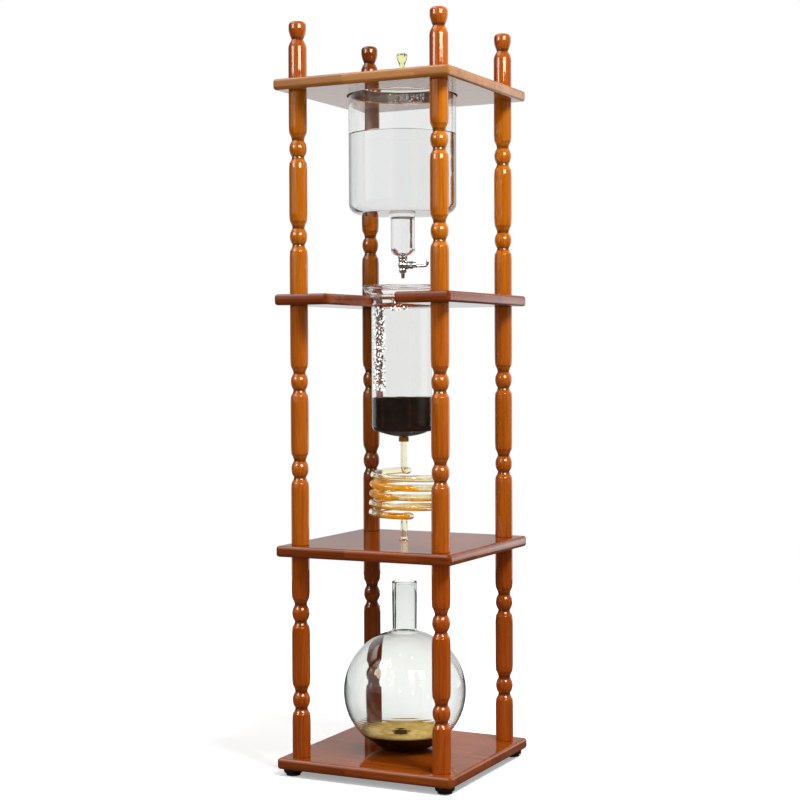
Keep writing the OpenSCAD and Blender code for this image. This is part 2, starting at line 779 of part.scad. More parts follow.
module glass_coil() {
    n = tube_sides;
    count = len(coil_path);
    points = [for (i = [0:count - 1], q = coil_ring(i)) q];
    sides = [for (i = [0:count - 2], k = [0:n - 1])
        let (a = i * n + k, b = i * n + (k + 1) % n)
        each [[a, b, b + n], [a, b + n, a + n]]];
    start_cap = [for (k = [1:n - 2]) [0, k + 1, k]];
    end_first = (count - 1) * n;
    end_cap = [for (k = [1:n - 2]) [end_first, end_first + k, end_first + k + 1]];
    echo(str("least gap between turns of the coil: ", coil_gap, " mm"));
    color(amber) polyhedron(points, concat(sides, start_cap, end_cap), convexity = 10);
}

// Flat-bottomed round glass flask with a straight neck
module flask() {
    g = globe_r;
    gi = inner_globe_r;
    n = flask_neck_r;
    ni = n - flask_wall;
    f = flask_neck_fillet;
    z = globe_z;
    steps = 4 * arc_steps;
    // Height where the neck's fillet meets the globe
    fillet_z = z + sqrt(pow(g + f, 2) - pow(n + f, 2));
    inner_fillet_z = z + sqrt(pow(gi + f, 2) - pow(ni + f, 2));
    low = -acos(flask_flat_r / g);
    high = acos((n + f) / (g + f));
    inner_low = -asin((globe_rise - flask_wall) / gi);
    inner_high = acos((ni + f) / (gi + f));
    top = flask_base + flask_h;
    outer = concat([[0, flask_base]],
        [for (i = [0:steps]) let (t = low + (high - low) * i / steps)
            [g * cos(t), z + g * sin(t)]],
        arc(n + f, fillet_z, f, 180 + high, 180),
        arc(n - flask_lip_r, top - flask_lip_r, flask_lip_r, 0, 90));
    inner = concat([[ni, top]],
        arc(ni + f, inner_fillet_z, f, 180, 180 + inner_high),
        [for (i = [steps:-1:0]) let (t = inner_low + (inner_high - inner_low) * i / steps)
            [gi * cos(t), z + gi * sin(t)]],
        [[0, flask_base + flask_wall]]);
    color(clear_glass) lathe(concat(outer, inner));
}

// Brewed coffee that fills the bottom of the flask
module brewed_coffee() {
    r = inner_globe_r - liquid_gap;
    bottom = globe_rise - flask_wall - liquid_gap;
    low = -asin(bottom / r);
    high = -asin((bottom - coffee_depth) / r);
    color(coffee_brown)
        lathe(concat([[0, globe_z - bottom]], arc(0, globe_z, r, low, high),
            [[0, globe_z - bottom + coffee_depth]]));
}

base_board();
lower_shelf();
middle_shelf();
top_shelf();
for (i = [0:3]) {
    lower_spindle(i);
    middle_spindle(i);
    upper_spindle(i);
    finial(i);
}
joint_studs();
base_bolts();
base_washers();
foot_pucks();
foot_pads();
vessel_gasket();
water_vessel();
vessel_water();
tap_sleeve();
tap_body();
tap_nozzle();
tap_plug();
tap_packing_nut();
tap_lever();
tap_lever_pin();
vessel_lid();
lid_knob();
coffee_chamber();
filter_disc();
coffee_grounds();
outlet_sleeve();
glass_coil();
flask();
brewed_coffee();
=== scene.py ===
"""Looks of the cold drip coffee tower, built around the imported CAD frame.

Sizes below are in millimetres, as in the CAD source. The tower's axis is x = y = 0, the floor
is z = 0 and the front is -Y. Meshes are made in those units and scaled to metres at the end.
"""

import json
import math
import random

import bpy
from mathutils import Matrix, Vector, noise
from mathutils.geometry import tessellate_polygon

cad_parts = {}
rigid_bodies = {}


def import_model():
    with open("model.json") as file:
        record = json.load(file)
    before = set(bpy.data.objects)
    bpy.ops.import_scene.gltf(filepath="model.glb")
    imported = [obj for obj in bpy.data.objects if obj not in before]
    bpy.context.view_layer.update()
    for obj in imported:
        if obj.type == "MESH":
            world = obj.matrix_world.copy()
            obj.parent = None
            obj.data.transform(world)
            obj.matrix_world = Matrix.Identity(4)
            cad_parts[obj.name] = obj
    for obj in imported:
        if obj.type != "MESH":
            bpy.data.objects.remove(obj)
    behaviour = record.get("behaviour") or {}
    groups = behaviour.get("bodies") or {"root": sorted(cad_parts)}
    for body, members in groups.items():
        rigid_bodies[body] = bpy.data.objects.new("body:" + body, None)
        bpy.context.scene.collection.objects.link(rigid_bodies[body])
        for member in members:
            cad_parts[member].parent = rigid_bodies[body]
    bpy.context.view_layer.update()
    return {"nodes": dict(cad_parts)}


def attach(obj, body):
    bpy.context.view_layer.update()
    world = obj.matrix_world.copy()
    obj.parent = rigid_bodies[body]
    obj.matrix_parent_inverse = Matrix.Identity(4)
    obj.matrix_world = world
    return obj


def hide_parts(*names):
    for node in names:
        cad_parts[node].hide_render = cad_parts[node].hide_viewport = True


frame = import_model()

MM = 0.001
SEGMENTS = 96
FINE_SEGMENTS = 128
COARSE_SEGMENTS = 64
ARC_STEPS = 12
SHARP_ANGLE = math.radians(32)

# Boards and spindles
BOARD_W = 280
BOARD_T = 16
EDGE_R = 4.5
PLAN_R = 5.2
BASE_TOP, LOWER_TOP, MIDDLE_TOP, TOP_TOP = 26, 336, 701, 1011
POST = 113
POST_R = 13.2
NECK_R = 8.9
BEAD_R = 12.6
EASE = 0.7
BARREL_LEN = 104
BEAD_LEN = 23
COVE_LEN = 11
FLARE_LEN = 9
EASE_LEN = 12
STUD_BORE_R = 3.08
STUD_BORE = 22
POST_SOFT = 0.8
FINIAL_H = 84
CORNERS = {"fl": (-1, -1), "fr": (1, -1), "bl": (-1, 1), "br": (1, 1)}
HOLE_R = 82
NOTCH_R = 53.5
DRIP_HOLE_R = 5

# Feet and gasket
FOOT = 122
PAD_H = 3
PUCK_H = 7
PUCK_R = 14
GASKET_R = 80
GASKET_SKIRT_R = 81.7
GASKET_FLANGE_R = 90
GASKET_T = 1.5

# Water vessel, lid and knob
VESSEL_R = 79.6
VESSEL_WALL = 3
VESSEL_FLOOR = 820.8
VESSEL_CORNER = 16
VESSEL_NECK_R = 17.6
VESSEL_FILLET = 8
NECK_END = 766.8
SPOUT_R = 4.6
SPOUT_BORE = 2.6
SPOUT_END = 751.8
CONE_H = 8
RIM_R = 88
RIM_UNDER, RIM_TOP = 1012.8, 1016.8
WATER_LEVEL = 936.8
LID_BASE = 1017.1
LID_R = 86
LID_T = 3
LID_RISE = 9
LID_SKIRT_R = 75.9
LID_SKIRT_T = 3
LID_SKIRT_DROP = 5.2
LID_SKIRT_SOFT = 0.8
LID_TOP = LID_BASE + LID_T + LID_RISE
KNOB_FLAT = 8
KNOB_H = 29
KNOB_R = 8
KNOB_STEM = 3.6

# Coffee chamber and its contents
CHAMBER_R = 47
CHAMBER_WALL = 2.5
CHAMBER_BOTTOM = 491
CHAMBER_CORNER = 9
BOWL_R = CHAMBER_R - CHAMBER_CORNER
BOWL_RISE = 8
THROAT_Z = 687
SEAT_R = 53.2
FLANGE_R = 60
FLANGE_TOP = 715
RIM_ROLL = 5
OUTLET_R = 4.8
OUTLET_BORE = 3
OUTLET_Z = 487
FILTER_R = 26
FILTER_T = 3
GROUNDS_TOP = 551
SLEEVE_R = 7.6
SLEEVE_Z = 483.7
SLEEVE_H = 7

# Drip coil
TUBE_R = 4.9
TUBE_BORE = 3.3
INLET_TOP = 486.7
BEND_R = 8
ENTRY_Z = 439.7
ENTRY_ANGLE = 90
COIL_PITCH = 14
COIL_TURNS = 4.67
EXIT_ANGLE = ENTRY_ANGLE + 360 * COIL_TURNS
EXIT_Z = ENTRY_Z - COIL_PITCH * COIL_TURNS
FIRST_TURN_R, LAST_TURN_R = 45.1, 48.1
SPIRAL_SWEEP = 150
EXIT_STEM_R = 5.3
LIP_R = 7.3
LIP_Z = 336.3

# Flask and its contents
FLASK_BASE = 26.3
GLOBE_R = 91
GLOBE_Z = 112.2
FLAT_R = 30
FLASK_WALL = 2.2
FLASK_NECK_R = 18
FLASK_FILLET = 6
FLASK_TOP = 275.8
FLASK_FLOOR_RISE = 0.6
COFFEE_LEVEL = 52.8

# Where the photo shows the flask's middle, and its scale there
FLASK_MIDDLE_PX = 690
PX_PER_MM = 0.6735

# Tap
TAP_BORE = 1.4
TAP_SOCKET_R = 5.48
TAP_SOCKET_Z = 751.7
TAP_AXIS_Z = 745.3
PLUG_R = 3.08

# How far a liquid's mesh reaches into the glass around it, so that light bends as it should
WET_OVERLAP = 0.15


# ---- camera and studio

CAMERA_AT = Vector((1.1144, -2.2511, 0.6119))
CAMERA_YAW = 0.46179
CAMERA_PITCH = -0.026425
CAMERA_ROLL = 0.004686
FOCAL_PX = 1691.2
PHOTO_PX = 800
SENSOR = 36
AHEAD = Vector((-math.sin(CAMERA_YAW), math.cos(CAMERA_YAW), 0))
RIGHT = Vector((math.cos(CAMERA_YAW), math.sin(CAMERA_YAW), 0))


def make_camera():
    level = math.cos(CAMERA_PITCH)
    ahead = Vector((AHEAD.x * level, AHEAD.y * level, math.sin(CAMERA_PITCH)))
    up = RIGHT.cross(ahead)
    x_axis = math.cos(CAMERA_ROLL) * RIGHT - math.sin(CAMERA_ROLL) * up
    y_axis = math.sin(CAMERA_ROLL) * RIGHT + math.cos(CAMERA_ROLL) * up
    turn = Matrix((x_axis, y_axis, -ahead)).transposed().to_4x4()
    data = bpy.data.cameras.new("photo_camera")
    data.sensor_width = SENSOR
    data.lens = FOCAL_PX * SENSOR / PHOTO_PX
    data.clip_end = 50
    camera = bpy.data.objects.new("photo_camera", data)
    bpy.context.scene.collection.objects.link(camera)
    camera.matrix_world = Matrix.Translation(CAMERA_AT) @ turn
    bpy.context.scene.camera = camera


def direction(azimuth, elevation):
    """Unit vector; azimuth is in degrees off the way towards the photo's camera, positive to its right."""
    a = math.radians(azimuth)
    e = math.radians(elevation)
    level = -math.cos(a) * AHEAD + math.sin(a) * RIGHT
    return level * math.cos(e) + Vector((0, 0, math.sin(e)))


# Name, azimuth and elevation, distance, width and height in metres, power
LAMPS = [
    ("key_lamp", 38, 50, 2.6, 0.7, 0.7, 66),
    ("side_lamp", -66, 17, 2.6, 0.7, 0.7, 7),
    ("back_lamp", 160, 40, 2.8, 1.4, 1.4, 30),
]
HIGHLIGHTS = [
    ("key_highlight", 27, 28, 2.6, 1.5, 0.85, 97),
    ("side_highlight", -58, 26, 2.6, 1.1, 0.75, 32),
]
HIGHLIGHT_TINT = (1.0, 0.84, 0.60)
LAMP_AIM = Vector((0, 0, 0.6))

# The boards would mirror a highlight lamp as one white sheet, so it leaves them out
FLAT_PIECES = ("base_board", "lower_shelf", "middle_shelf", "top_shelf", "floor")


def area_lamp(name, azimuth, elevation, distance, width, height, power, shown_on=None):
    """A lamp that no mirror shows; or, with shown_on, only a highlight on that collection's pieces."""
    data = bpy.data.lights.new(name, "AREA")
    data.shape = "RECTANGLE"
    data.size = width
    data.size_y = height
    data.energy = power
    lamp = bpy.data.objects.new(name, data)
    bpy.context.scene.collection.objects.link(lamp)
    way = direction(azimuth, elevation)
    lamp.location = LAMP_AIM + distance * way
    lamp.rotation_euler = way.to_track_quat("Z", "Y").to_euler()
    lamp.visible_camera = False
    lamp.visible_transmission = False
    lamp.visible_glossy = shown_on is not None
    if shown_on is not None:
        data.color = HIGHLIGHT_TINT
        lamp.visible_diffuse = False
        lamp.light_linking.receiver_collection = shown_on


# ---- node helpers


def add(tree, kind, inputs=None, **settings):
    """A new node with its settings, its inputs linked where a value is a socket."""
    made = tree.nodes.new(kind)
    for key, value in settings.items():
        setattr(made, key, value)
    for key, value in (inputs or {}).items():
        if isinstance(value, bpy.types.NodeSocket):
            tree.links.new(value, made.inputs[key])
        else:
            made.inputs[key].default_value = value
    return made


def maths(tree, operation, a, b=0.0):
    return add(tree, "ShaderNodeMath", {0: a, 1: b}, operation=operation).outputs[0]


def vectors(tree, operation, a, b=(0, 0, 0), result="Vector"):
    return add(tree, "ShaderNodeVectorMath", {0: a, 1: b}, operation=operation).outputs[result]


def flat_length(tree, x, y):
    """Length of the vector (x, y, 0)."""
    flat = add(tree, "ShaderNodeCombineXYZ", {0: x, 1: y}).outputs[0]
    return vectors(tree, "LENGTH", flat, result="Value")


def mix_value(tree, factor, a, b):
    return add(tree, "ShaderNodeMix", {0: factor, 2: a, 3: b}).outputs[0]


def mix_colour(tree, factor, a, b, blend="MIX"):
    made = add(tree, "ShaderNodeMix", {0: factor, 6: a, 7: b}, data_type="RGBA", blend_type=blend)
    return made.outputs[2]


def span(tree, value, low, high, out_low=0.0, out_high=1.0):
    """Smooth step from out_low at low to out_high at high."""
    inputs = {"Value": value, "From Min": low, "From Max": high, "To Min": out_low, "To Max": out_high}
    return add(tree, "ShaderNodeMapRange", inputs, interpolation_type="SMOOTHSTEP").outputs["Result"]


def ramp(tree, factor, stops):
    made = add(tree, "ShaderNodeValToRGB", {"Fac": factor})
    elements = made.color_ramp.elements
    while len(elements) < len(stops):
        elements.new(0.5)
    for element, (place, colour) in zip(elements, stops):
        element.position = place
        element.color = colour
    return made.outputs["Color"]


def srgb(r, g, b):
    """Linear colour of a 0-255 display colour."""
    def line(c):
        c /= 255
        return c / 12.92 if c <= 0.04045 else ((c + 0.055) / 1.055) ** 2.4
    return (line(r), line(g), line(b), 1)


def object_coords(tree):
    """The object's own coordinates in metres."""
    return add(tree, "ShaderNodeTexCoord").outputs["Object"]


def noise_of(tree, scale, detail=4.0, roughness=0.55, distortion=0.0, coords=None):
    """Noise with scale features a metre, or with three such numbers for x, y and z."""
    scale = scale if isinstance(scale, (tuple, list)) else (scale,) * 3
    coords = object_coords(tree) if coords is None else coords
    vector = add(tree, "ShaderNodeMapping", {"Vector": coords, "Scale": scale}).outputs["Vector"]
    inputs = {"Vector": vector, "Scale": 1.0, "Detail": detail, "Roughness": roughness,
              "Distortion": distortion}
    return add(tree, "ShaderNodeTexNoise", inputs).outputs["Fac"]


def bump(tree, height, strength, distance):
    inputs = {"Height": height, "Strength": strength, "Distance": distance}
    return add(tree, "ShaderNodeBump", inputs).outputs["Normal"]


def cleared(block):
    """The emptied node tree of a material or world."""
    block.use_nodes = True
    block.node_tree.nodes.clear()
    return block.node_tree


def new_material(name, **values):
    """A material with one Principled shader, its plain values set on its own sockets."""
    material = bpy.data.materials.new(name)
    tree = cleared(material)
    shader = add(tree, "ShaderNodeBsdfPrincipled")
    for key, value in values.items():
        shader.inputs[key.replace("_", " ")].default_value = value
    output = add(tree, "ShaderNodeOutputMaterial", {"Surface": shader.outputs[0]})
    return material, tree, shader, output


def feed(tree, shader, **sockets):
    """Links sockets to a shader's inputs; Base_Color stands for the input Base Color."""
    for key, socket in sockets.items():
        tree.links.new(socket, shader.inputs[key.replace("_", " ")])


# ---- world and floor


def studio_box(tree, azimuth, height, azimuths, heights, strength, soft=0.09):
    """Light of a soft panel between two azimuths (degrees) and two heights (sine of elevation)."""
    left, right = (math.radians(a) for a in azimuths)
    parts = [
        span(tree, azimuth, left - soft, left + soft),
        span(tree, azimuth, right - soft, right + soft, 1.0, 0.0),
        span(tree, height, heights[0] - soft / 2, heights[0] + soft / 2),
        span(tree, height, heights[1] - soft, heights[1] + soft, 1.0, 0.0),
    ]
    product = parts[0]
    for part in parts[1:]:
        product = maths(tree, "MULTIPLY", product, part)
    return maths(tree, "MULTIPLY", product, strength)


STUDIO_DARK = 0.05
FILL_LIGHT = 0.48
ANY_HEIGHT = (-2.0, 2.0)

# What mirrors see of the studio: azimuths, heights and strength of each soft panel
PANELS = [
    ((-46, 46), (0.0, 2.0), 0.44),
    ((-60, 60), (-2.0, 0.0), 0.92),
    ((42, 68), (-0.13, 0.7), 1.25),
    ((-160, -90), (0.05, 0.7), 0.9),
    ((-136, -108), (0.22, 0.52), 0.6),
    ((134, 172), (0.25, 0.62), 0.9),
    ((-130, -40), (0.66, 0.97), 3.5),
    ((96, 124), (-0.05, 0.7), 0.36),
]

# Glass sees white with two darker bars a side, which draw its outlines. Light that was mirrored
# inside the glass comes from the viewer's side, which is dark so that it makes no haze.
GLASS_BARS = ((50, 68), (112, 130))
BAR_DARKNESS = 0.45
HAZE_AZIMUTHS = (92, 118)
HAZE_LEVEL = 0.08


def make_world():
    """White backdrop, with a grey studio of soft panels for mirrors and its own light for glass."""
    world = bpy.data.worlds.new("studio")
    bpy.context.scene.world = world
    tree = cleared(world)
    way = add(tree, "ShaderNodeTexCoord").outputs["Generated"]
    aside, ahead = (vectors(tree, "DOT_PRODUCT", way, axis, "Value") for axis in (RIGHT, AHEAD))
    azimuth = maths(tree, "ARCTAN2", aside, ahead)
    height = add(tree, "ShaderNodeSeparateXYZ", {0: way}).outputs["Z"]

    mirror = STUDIO_DARK
    for azimuths, heights, strength in PANELS:
        light = studio_box(tree, azimuth, height, azimuths, heights, strength)
        mirror = maths(tree, "ADD", light, mirror)

    path = add(tree, "ShaderNodeLightPath").outputs
    off_ahead = maths(tree, "ABSOLUTE", azimuth)
    near, far = (math.radians(a) for a in HAZE_AZIMUTHS)
    haze = span(tree, off_ahead, near, far, 1.0, HAZE_LEVEL)
    through = mix_value(tree, maths(tree, "GREATER_THAN", path["Glossy Depth"], 0.5), 1.0, haze)
    for azimuths in GLASS_BARS:
        bar = studio_box(tree, off_ahead, height, azimuths, ANY_HEIGHT, BAR_DARKNESS)
        through = maths(tree, "MULTIPLY", through, maths(tree, "SUBTRACT", 1.0, bar))

    level = mix_value(tree, path["Is Glossy Ray"], FILL_LIGHT, mirror)
    level = mix_value(tree, path["Is Transmission Ray"], level, through)
    level = mix_value(tree, path["Is Camera Ray"], level, 1.0)
    shade = add(tree, "ShaderNodeBackground", {"Color": (1, 1, 1, 1), "Strength": level})
    add(tree, "ShaderNodeOutputWorld", {"Surface": shade.outputs[0]})


FLOOR_R = 2.2
FLOOR_SIDES = 96
FLOOR_GLOW = 0.32
FLOOR_PALE = (0.9, 0.9, 0.9, 1)
FLOOR_IN_MIRRORS = (0.1, 0.1, 0.1, 1)
FLOOR_BOUNCE = (0.22, 0.20, 0.19, 1)


def make_floor():
    """Pale floor that keeps the tower's shadow and fades into the white backdrop."""
    turns = [math.tau * i / FLOOR_SIDES for i in range(FLOOR_SIDES)]
    ring = [(FLOOR_R * math.cos(t), FLOOR_R * math.sin(t), 0) for t in turns]
    mesh = bpy.data.meshes.new("floor")
    mesh.from_pydata(ring, [], [tuple(range(FLOOR_SIDES))])
    floor = bpy.data.objects.new("floor", mesh)
    bpy.context.scene.collection.objects.link(floor)
    material = bpy.data.materials.new("floor_white")
    tree = cleared(material)
    path = add(tree, "ShaderNodeLightPath").outputs
    straight = maths(tree, "LESS_THAN", path["Glossy Depth"], 0.5)
    through = maths(tree, "MULTIPLY", path["Is Transmission Ray"], straight)
    seen = maths(tree, "MAXIMUM", path["Is Camera Ray"], through)
    colour = mix_colour(tree, path["Is Glossy Ray"], FLOOR_PALE, FLOOR_IN_MIRRORS)
    colour = mix_colour(tree, path["Is Diffuse Ray"], colour, FLOOR_BOUNCE)
    colour = mix_colour(tree, seen, colour, FLOOR_PALE)
    dull = add(tree, "ShaderNodeBsdfDiffuse", {"Color": colour})
    strength = maths(tree, "MULTIPLY", seen, FLOOR_GLOW)
    glow = add(tree, "ShaderNodeEmission", {"Color": (1, 1, 1, 1), "Strength": strength})
    both = add(tree, "ShaderNodeAddShader", {0: dull.outputs[0], 1: glow.outputs[0]})
    add(tree, "ShaderNodeOutputMaterial", {"Surface": both.outputs[0]})
    mesh.materials.append(material)


# ---- materials


PLANK_W = 0.047
BLOCK_L = 0.115


def plank_pattern(tree, coords, place):
    """Strips glued side by side and end to end: their shade, and coordinates that give each block
    a figure of its own."""
    strip = maths(tree, "DIVIDE", place["Y"], PLANK_W)
    strip_id = maths(tree, "FLOOR", strip)
    slide = add(tree, "ShaderNodeTexWhiteNoise", {"W": strip_id}, noise_dimensions="1D").outputs["Value"]
    along = maths(tree, "DIVIDE", place["X"], BLOCK_L)
    block = maths(tree, "ADD", along, maths(tree, "MULTIPLY", slide, 7.0))
    pair = add(tree, "ShaderNodeCombineXYZ", {0: strip_id, 1: maths(tree, "FLOOR", block)}).outputs[0]
    tone = add(tree, "ShaderNodeTexWhiteNoise", {"Vector": pair}, noise_dimensions="2D").outputs["Value"]
    coords = vectors(tree, "ADD", coords, vectors(tree, "MULTIPLY", pair, (0.31, 0.77, 0.0)))
    seams = []
    for run, width in ((strip, 0.008), (block, 0.004)):
        part = maths(tree, "FRACT", run)
        edge = maths(tree, "MINIMUM", part, maths(tree, "SUBTRACT", 1.0, part))
        seams.append(span(tree, edge, 0.0, width, 0.86, 1.0))
    tone = span(tree, tone, 0.0, 1.0, 0.90, 1.08)
    return maths(tree, "MULTIPLY", maths(tree, "MINIMUM", *seams), tone), coords


def lacquered_wood(name, tones, stretch, planks=False, neck_stain_and_shade=False, painted_shading=1.0):
    """Stained hardwood under clear gloss lacquer. stretch is how fine the figure is along x, y and z,
    in lines a metre; planks adds the glued strips of a board; the groove switch darkens a post's necks,
    partly as stain that gathers there and partly as painted shade of the creases; and the last number
    scales the whole colour: below 1 it is painted shade, above 1 painted light."""
    material, tree, shader, _ = new_material(
        name, Roughness=0.5, Coat_Weight=1.0, Coat_Roughness=0.04, Coat_IOR=1.5, Specular_IOR_Level=0.0)
    coords = object_coords(tree)
    place = add(tree, "ShaderNodeSeparateXYZ", {0: coords}).outputs
    shade = 1.0
    if planks:
        shade, coords = plank_pattern(tree, coords, place)
    # Necks painted darker: partly stain that gathers in them, partly painted shade of the creases
    if neck_stain_and_shade:
        off = [maths(tree, "SUBTRACT", maths(tree, "ABSOLUTE", place[axis]), POST * MM) for axis in "XY"]
        shade = span(tree, flat_length(tree, *off), (NECK_R - 0.1) * MM, (NECK_R + 1.4) * MM, 0.38, 1.0)
    # The whole colour times the corner's factor: painted shade below 1, painted light above 1
    shade = maths(tree, "MULTIPLY", shade, painted_shading)
    clouds = noise_of(tree, [0.16 * s for s in stretch], detail=2, coords=coords)
    grain = noise_of(tree, stretch, 5, 0.6, 0.6, coords)
    pores = noise_of(tree, [4.5 * s for s in stretch], 3, 0.7, coords=coords)
    blend = maths(tree, "ADD", maths(tree, "MULTIPLY", grain, 0.75), maths(tree, "MULTIPLY", clouds, 0.5))
    dark, middle, light = (srgb(*tone) for tone in tones)
    colour = ramp(tree, maths(tree, "SUBTRACT", blend, 0.12), [(0.20, dark), (0.50, middle), (0.82, light)])
    shade = maths(tree, "MULTIPLY", span(tree, pores, 0.34, 0.52, 0.80, 1.0), shade)
    greys = add(tree, "ShaderNodeCombineColor", {0: shade, 1: shade, 2: shade}).outputs[0]
    feed(tree, shader, Base_Color=mix_colour(tree, 1.0, colour, greys, "MULTIPLY"),
         Roughness=span(tree, grain, 0.3, 0.7, 0.50, 0.36), Normal=bump(tree, pores, 0.25, 0.00015),
         Coat_Normal=bump(tree, noise_of(tree, 70, detail=1), 0.10, 0.0008))
    return material


def clear_through(material, tree, shader, output, tint):
    """Lets lamps shine through glass: shadow rays pass straight on with a light tint."""
    path = add(tree, "ShaderNodeLightPath")
    open_way = add(tree, "ShaderNodeBsdfTransparent", {"Color": tint})
    parts = {0: path.outputs["Is Shadow Ray"], 1: shader.outputs[0], 2: open_way.outputs[0]}
    both = add(tree, "ShaderNodeMixShader", parts)
    tree.links.new(both.outputs[0], output.inputs["Surface"])
    return material


GLASS_BODY = (0.55, 0.60, 0.57, 1)


def glass(name, colour, density, ior=1.47, wave=0.02, wave_scale=60, shadow=0.97):
    """Clear glass or water; the thicker the way through it, the greyer it gets."""
    material, tree, shader, output = new_material(
        name, Base_Color=(*colour, 1), Roughness=0.0, IOR=ior, Transmission_Weight=1.0)
    ripple = noise_of(tree, (wave_scale, wave_scale, wave_scale * 0.4), detail=2)
    feed(tree, shader, Normal=bump(tree, ripple, wave, 0.001))
    if density:
        body = add(tree, "ShaderNodeVolumeAbsorption", {"Color": GLASS_BODY, "Density": density})
        tree.links.new(body.outputs[0], output.inputs["Volume"])
    return clear_through(material, tree, shader, output, (shadow, shadow, shadow, 1))


def metal(name, colour, roughness):
    material, tree, shader, _ = new_material(name, Base_Color=(*colour, 1), Metallic=1.0, Roughness=roughness)
    wear = noise_of(tree, 900, detail=3)
    feed(tree, shader, Roughness=span(tree, wear, 0.3, 0.7, roughness * 0.6, roughness * 1.6),
         Normal=bump(tree, wear, 0.06, 0.0001))
    return material


def rubber(name, low, high, roughness=0.55, scale=700):
    material, tree, shader, _ = new_material(name, Roughness=roughness, Specular_IOR_Level=0.4)
    grain = noise_of(tree, scale, detail=4)
    feed(tree, shader, Base_Color=ramp(tree, grain, [(0.3, srgb(*low)), (0.7, srgb(*high))]),
         Roughness=span(tree, grain, 0.2, 0.8, roughness - 0.1, roughness + 0.12),
         Normal=bump(tree, grain, 0.3, 0.0001))
    return material


def coffee_bed(name):
    """Wet ground coffee: near black, with crumbs that catch the light."""
    material, tree, shader, _ = new_material(name, Specular_IOR_Level=0.06)
    crumbs = add(tree, "ShaderNodeTexVoronoi", {"Vector": object_coords(tree), "Scale": 900.0})
    crumbs = crumbs.outputs["Distance"]
    patches = noise_of(tree, 60, detail=4)
    mixed = maths(tree, "ADD", maths(tree, "MULTIPLY", crumbs, 0.5), maths(tree, "MULTIPLY", patches, 0.6))
    stops = [(0.30, srgb(12, 6, 4)), (0.55, srgb(24, 13, 9)), (0.82, srgb(52, 33, 22))]
    feed(tree, shader, Base_Color=ramp(tree, mixed, stops),
         Roughness=span(tree, patches, 0.3, 0.7, 0.35, 0.7), Normal=bump(tree, crumbs, 0.8, 0.0006))
    return material


def wet_felt(name):
    material, tree, shader, _ = new_material(name, Roughness=0.9, Sheen_Weight=0.2)
    strands = noise_of(tree, (500, 500, 1500), 6, 0.7, 1.0)
    stops = [(0.3, srgb(26, 14, 8)), (0.7, srgb(60, 36, 20))]
    feed(tree, shader, Base_Color=ramp(tree, strands, stops), Normal=bump(tree, strands, 0.7, 0.0004))
    return material


COFFEE_MIDDLE = (0, 0, COFFEE_LEVEL * MM)
COFFEE_SPOT = tuple((Vector((0, 0, COFFEE_LEVEL)) - 6 * RIGHT - 13 * AHEAD) * MM)


def brewed(name):
    """Black coffee whose still top is tan, partly a thin film and partly painted reflection of the pale
    studio, darker at the glass, with a dark round patch.
    """
    material, tree, shader, _ = new_material(name, Roughness=0.3, Specular_IOR_Level=0.0)
    coords = object_coords(tree)
    height = add(tree, "ShaderNodeSeparateXYZ", {0: coords}).outputs["Z"]
    top = span(tree, height, (COFFEE_LEVEL - 0.9) * MM, (COFFEE_LEVEL - 0.35) * MM)
    swirl = noise_of(tree, 45, 5, 0.6, 0.8)
    # Tan top: partly film, partly painted reflection of the pale studio
    stops = [(0.30, srgb(150, 122, 66)), (0.52, srgb(186, 162, 98)), (0.74, srgb(214, 196, 142))]
    film_and_reflection = ramp(tree, swirl, stops)
    offset = vectors(tree, "SUBTRACT", coords, COFFEE_SPOT)
    across, deep = (vectors(tree, "DOT_PRODUCT", offset, axis, "Value") for axis in (RIGHT, AHEAD * 0.6))
    frayed = maths(tree, "SUBTRACT", noise_of(tree, 150, 4, 0.65), 0.5)
    away = maths(tree, "ADD", flat_length(tree, across, deep), maths(tree, "MULTIPLY", frayed, 0.024))
    film_and_reflection = mix_colour(tree, span(tree, away, 0.0095, 0.0150, 0.96, 0.0), film_and_reflection, srgb(34, 22, 10))
    out = vectors(tree, "DISTANCE", coords, COFFEE_MIDDLE, "Value")
    film_and_reflection = mix_colour(tree, span(tree, out, 0.050, 0.0645, 0.0, 0.55), film_and_reflection, srgb(96, 70, 30))
    depths = ramp(tree, swirl, [(0.3, srgb(14, 7, 4)), (0.8, srgb(34, 18, 9))])
    feed(tree, shader, Base_Color=mix_colour(tree, top, depths, film_and_reflection),
         Roughness=span(tree, swirl, 0.3, 0.7, 0.2, 0.4), Normal=bump(tree, swirl, 0.08, 0.0008))
    return material


def dewdrop(name, colour=(1, 1, 1), painted_glint_glow=0.55):
    """Drop on glass; its white emission is a painted glint, whose strength is the last argument."""
    material, tree, shader, output = new_material(
        name, Base_Color=(*colour, 1), Roughness=0.02, IOR=1.33, Transmission_Weight=0.6,
        Emission_Color=(1, 1, 1, 1), Emission_Strength=painted_glint_glow)
    feed(tree, shader, Normal=bump(tree, noise_of(tree, 900, detail=1), 0.1, 0.0002))
    return clear_through(material, tree, shader, output, (0.98, 0.98, 0.98, 1))


def amber_coffee(name):
    """Thin coffee in the coil's bore, golden where light passes."""
    material, tree, shader, output = new_material(name, Roughness=0.04, IOR=1.33, Transmission_Weight=0.6)
    stops = [(0.30, srgb(232, 168, 30)), (0.55, srgb(244, 194, 58)), (0.80, srgb(250, 216, 100))]
    feed(tree, shader, Base_Color=ramp(tree, noise_of(tree, 90, detail=3), stops))
    return clear_through(material, tree, shader, output, srgb(235, 190, 110))


# ---- mesh helpers


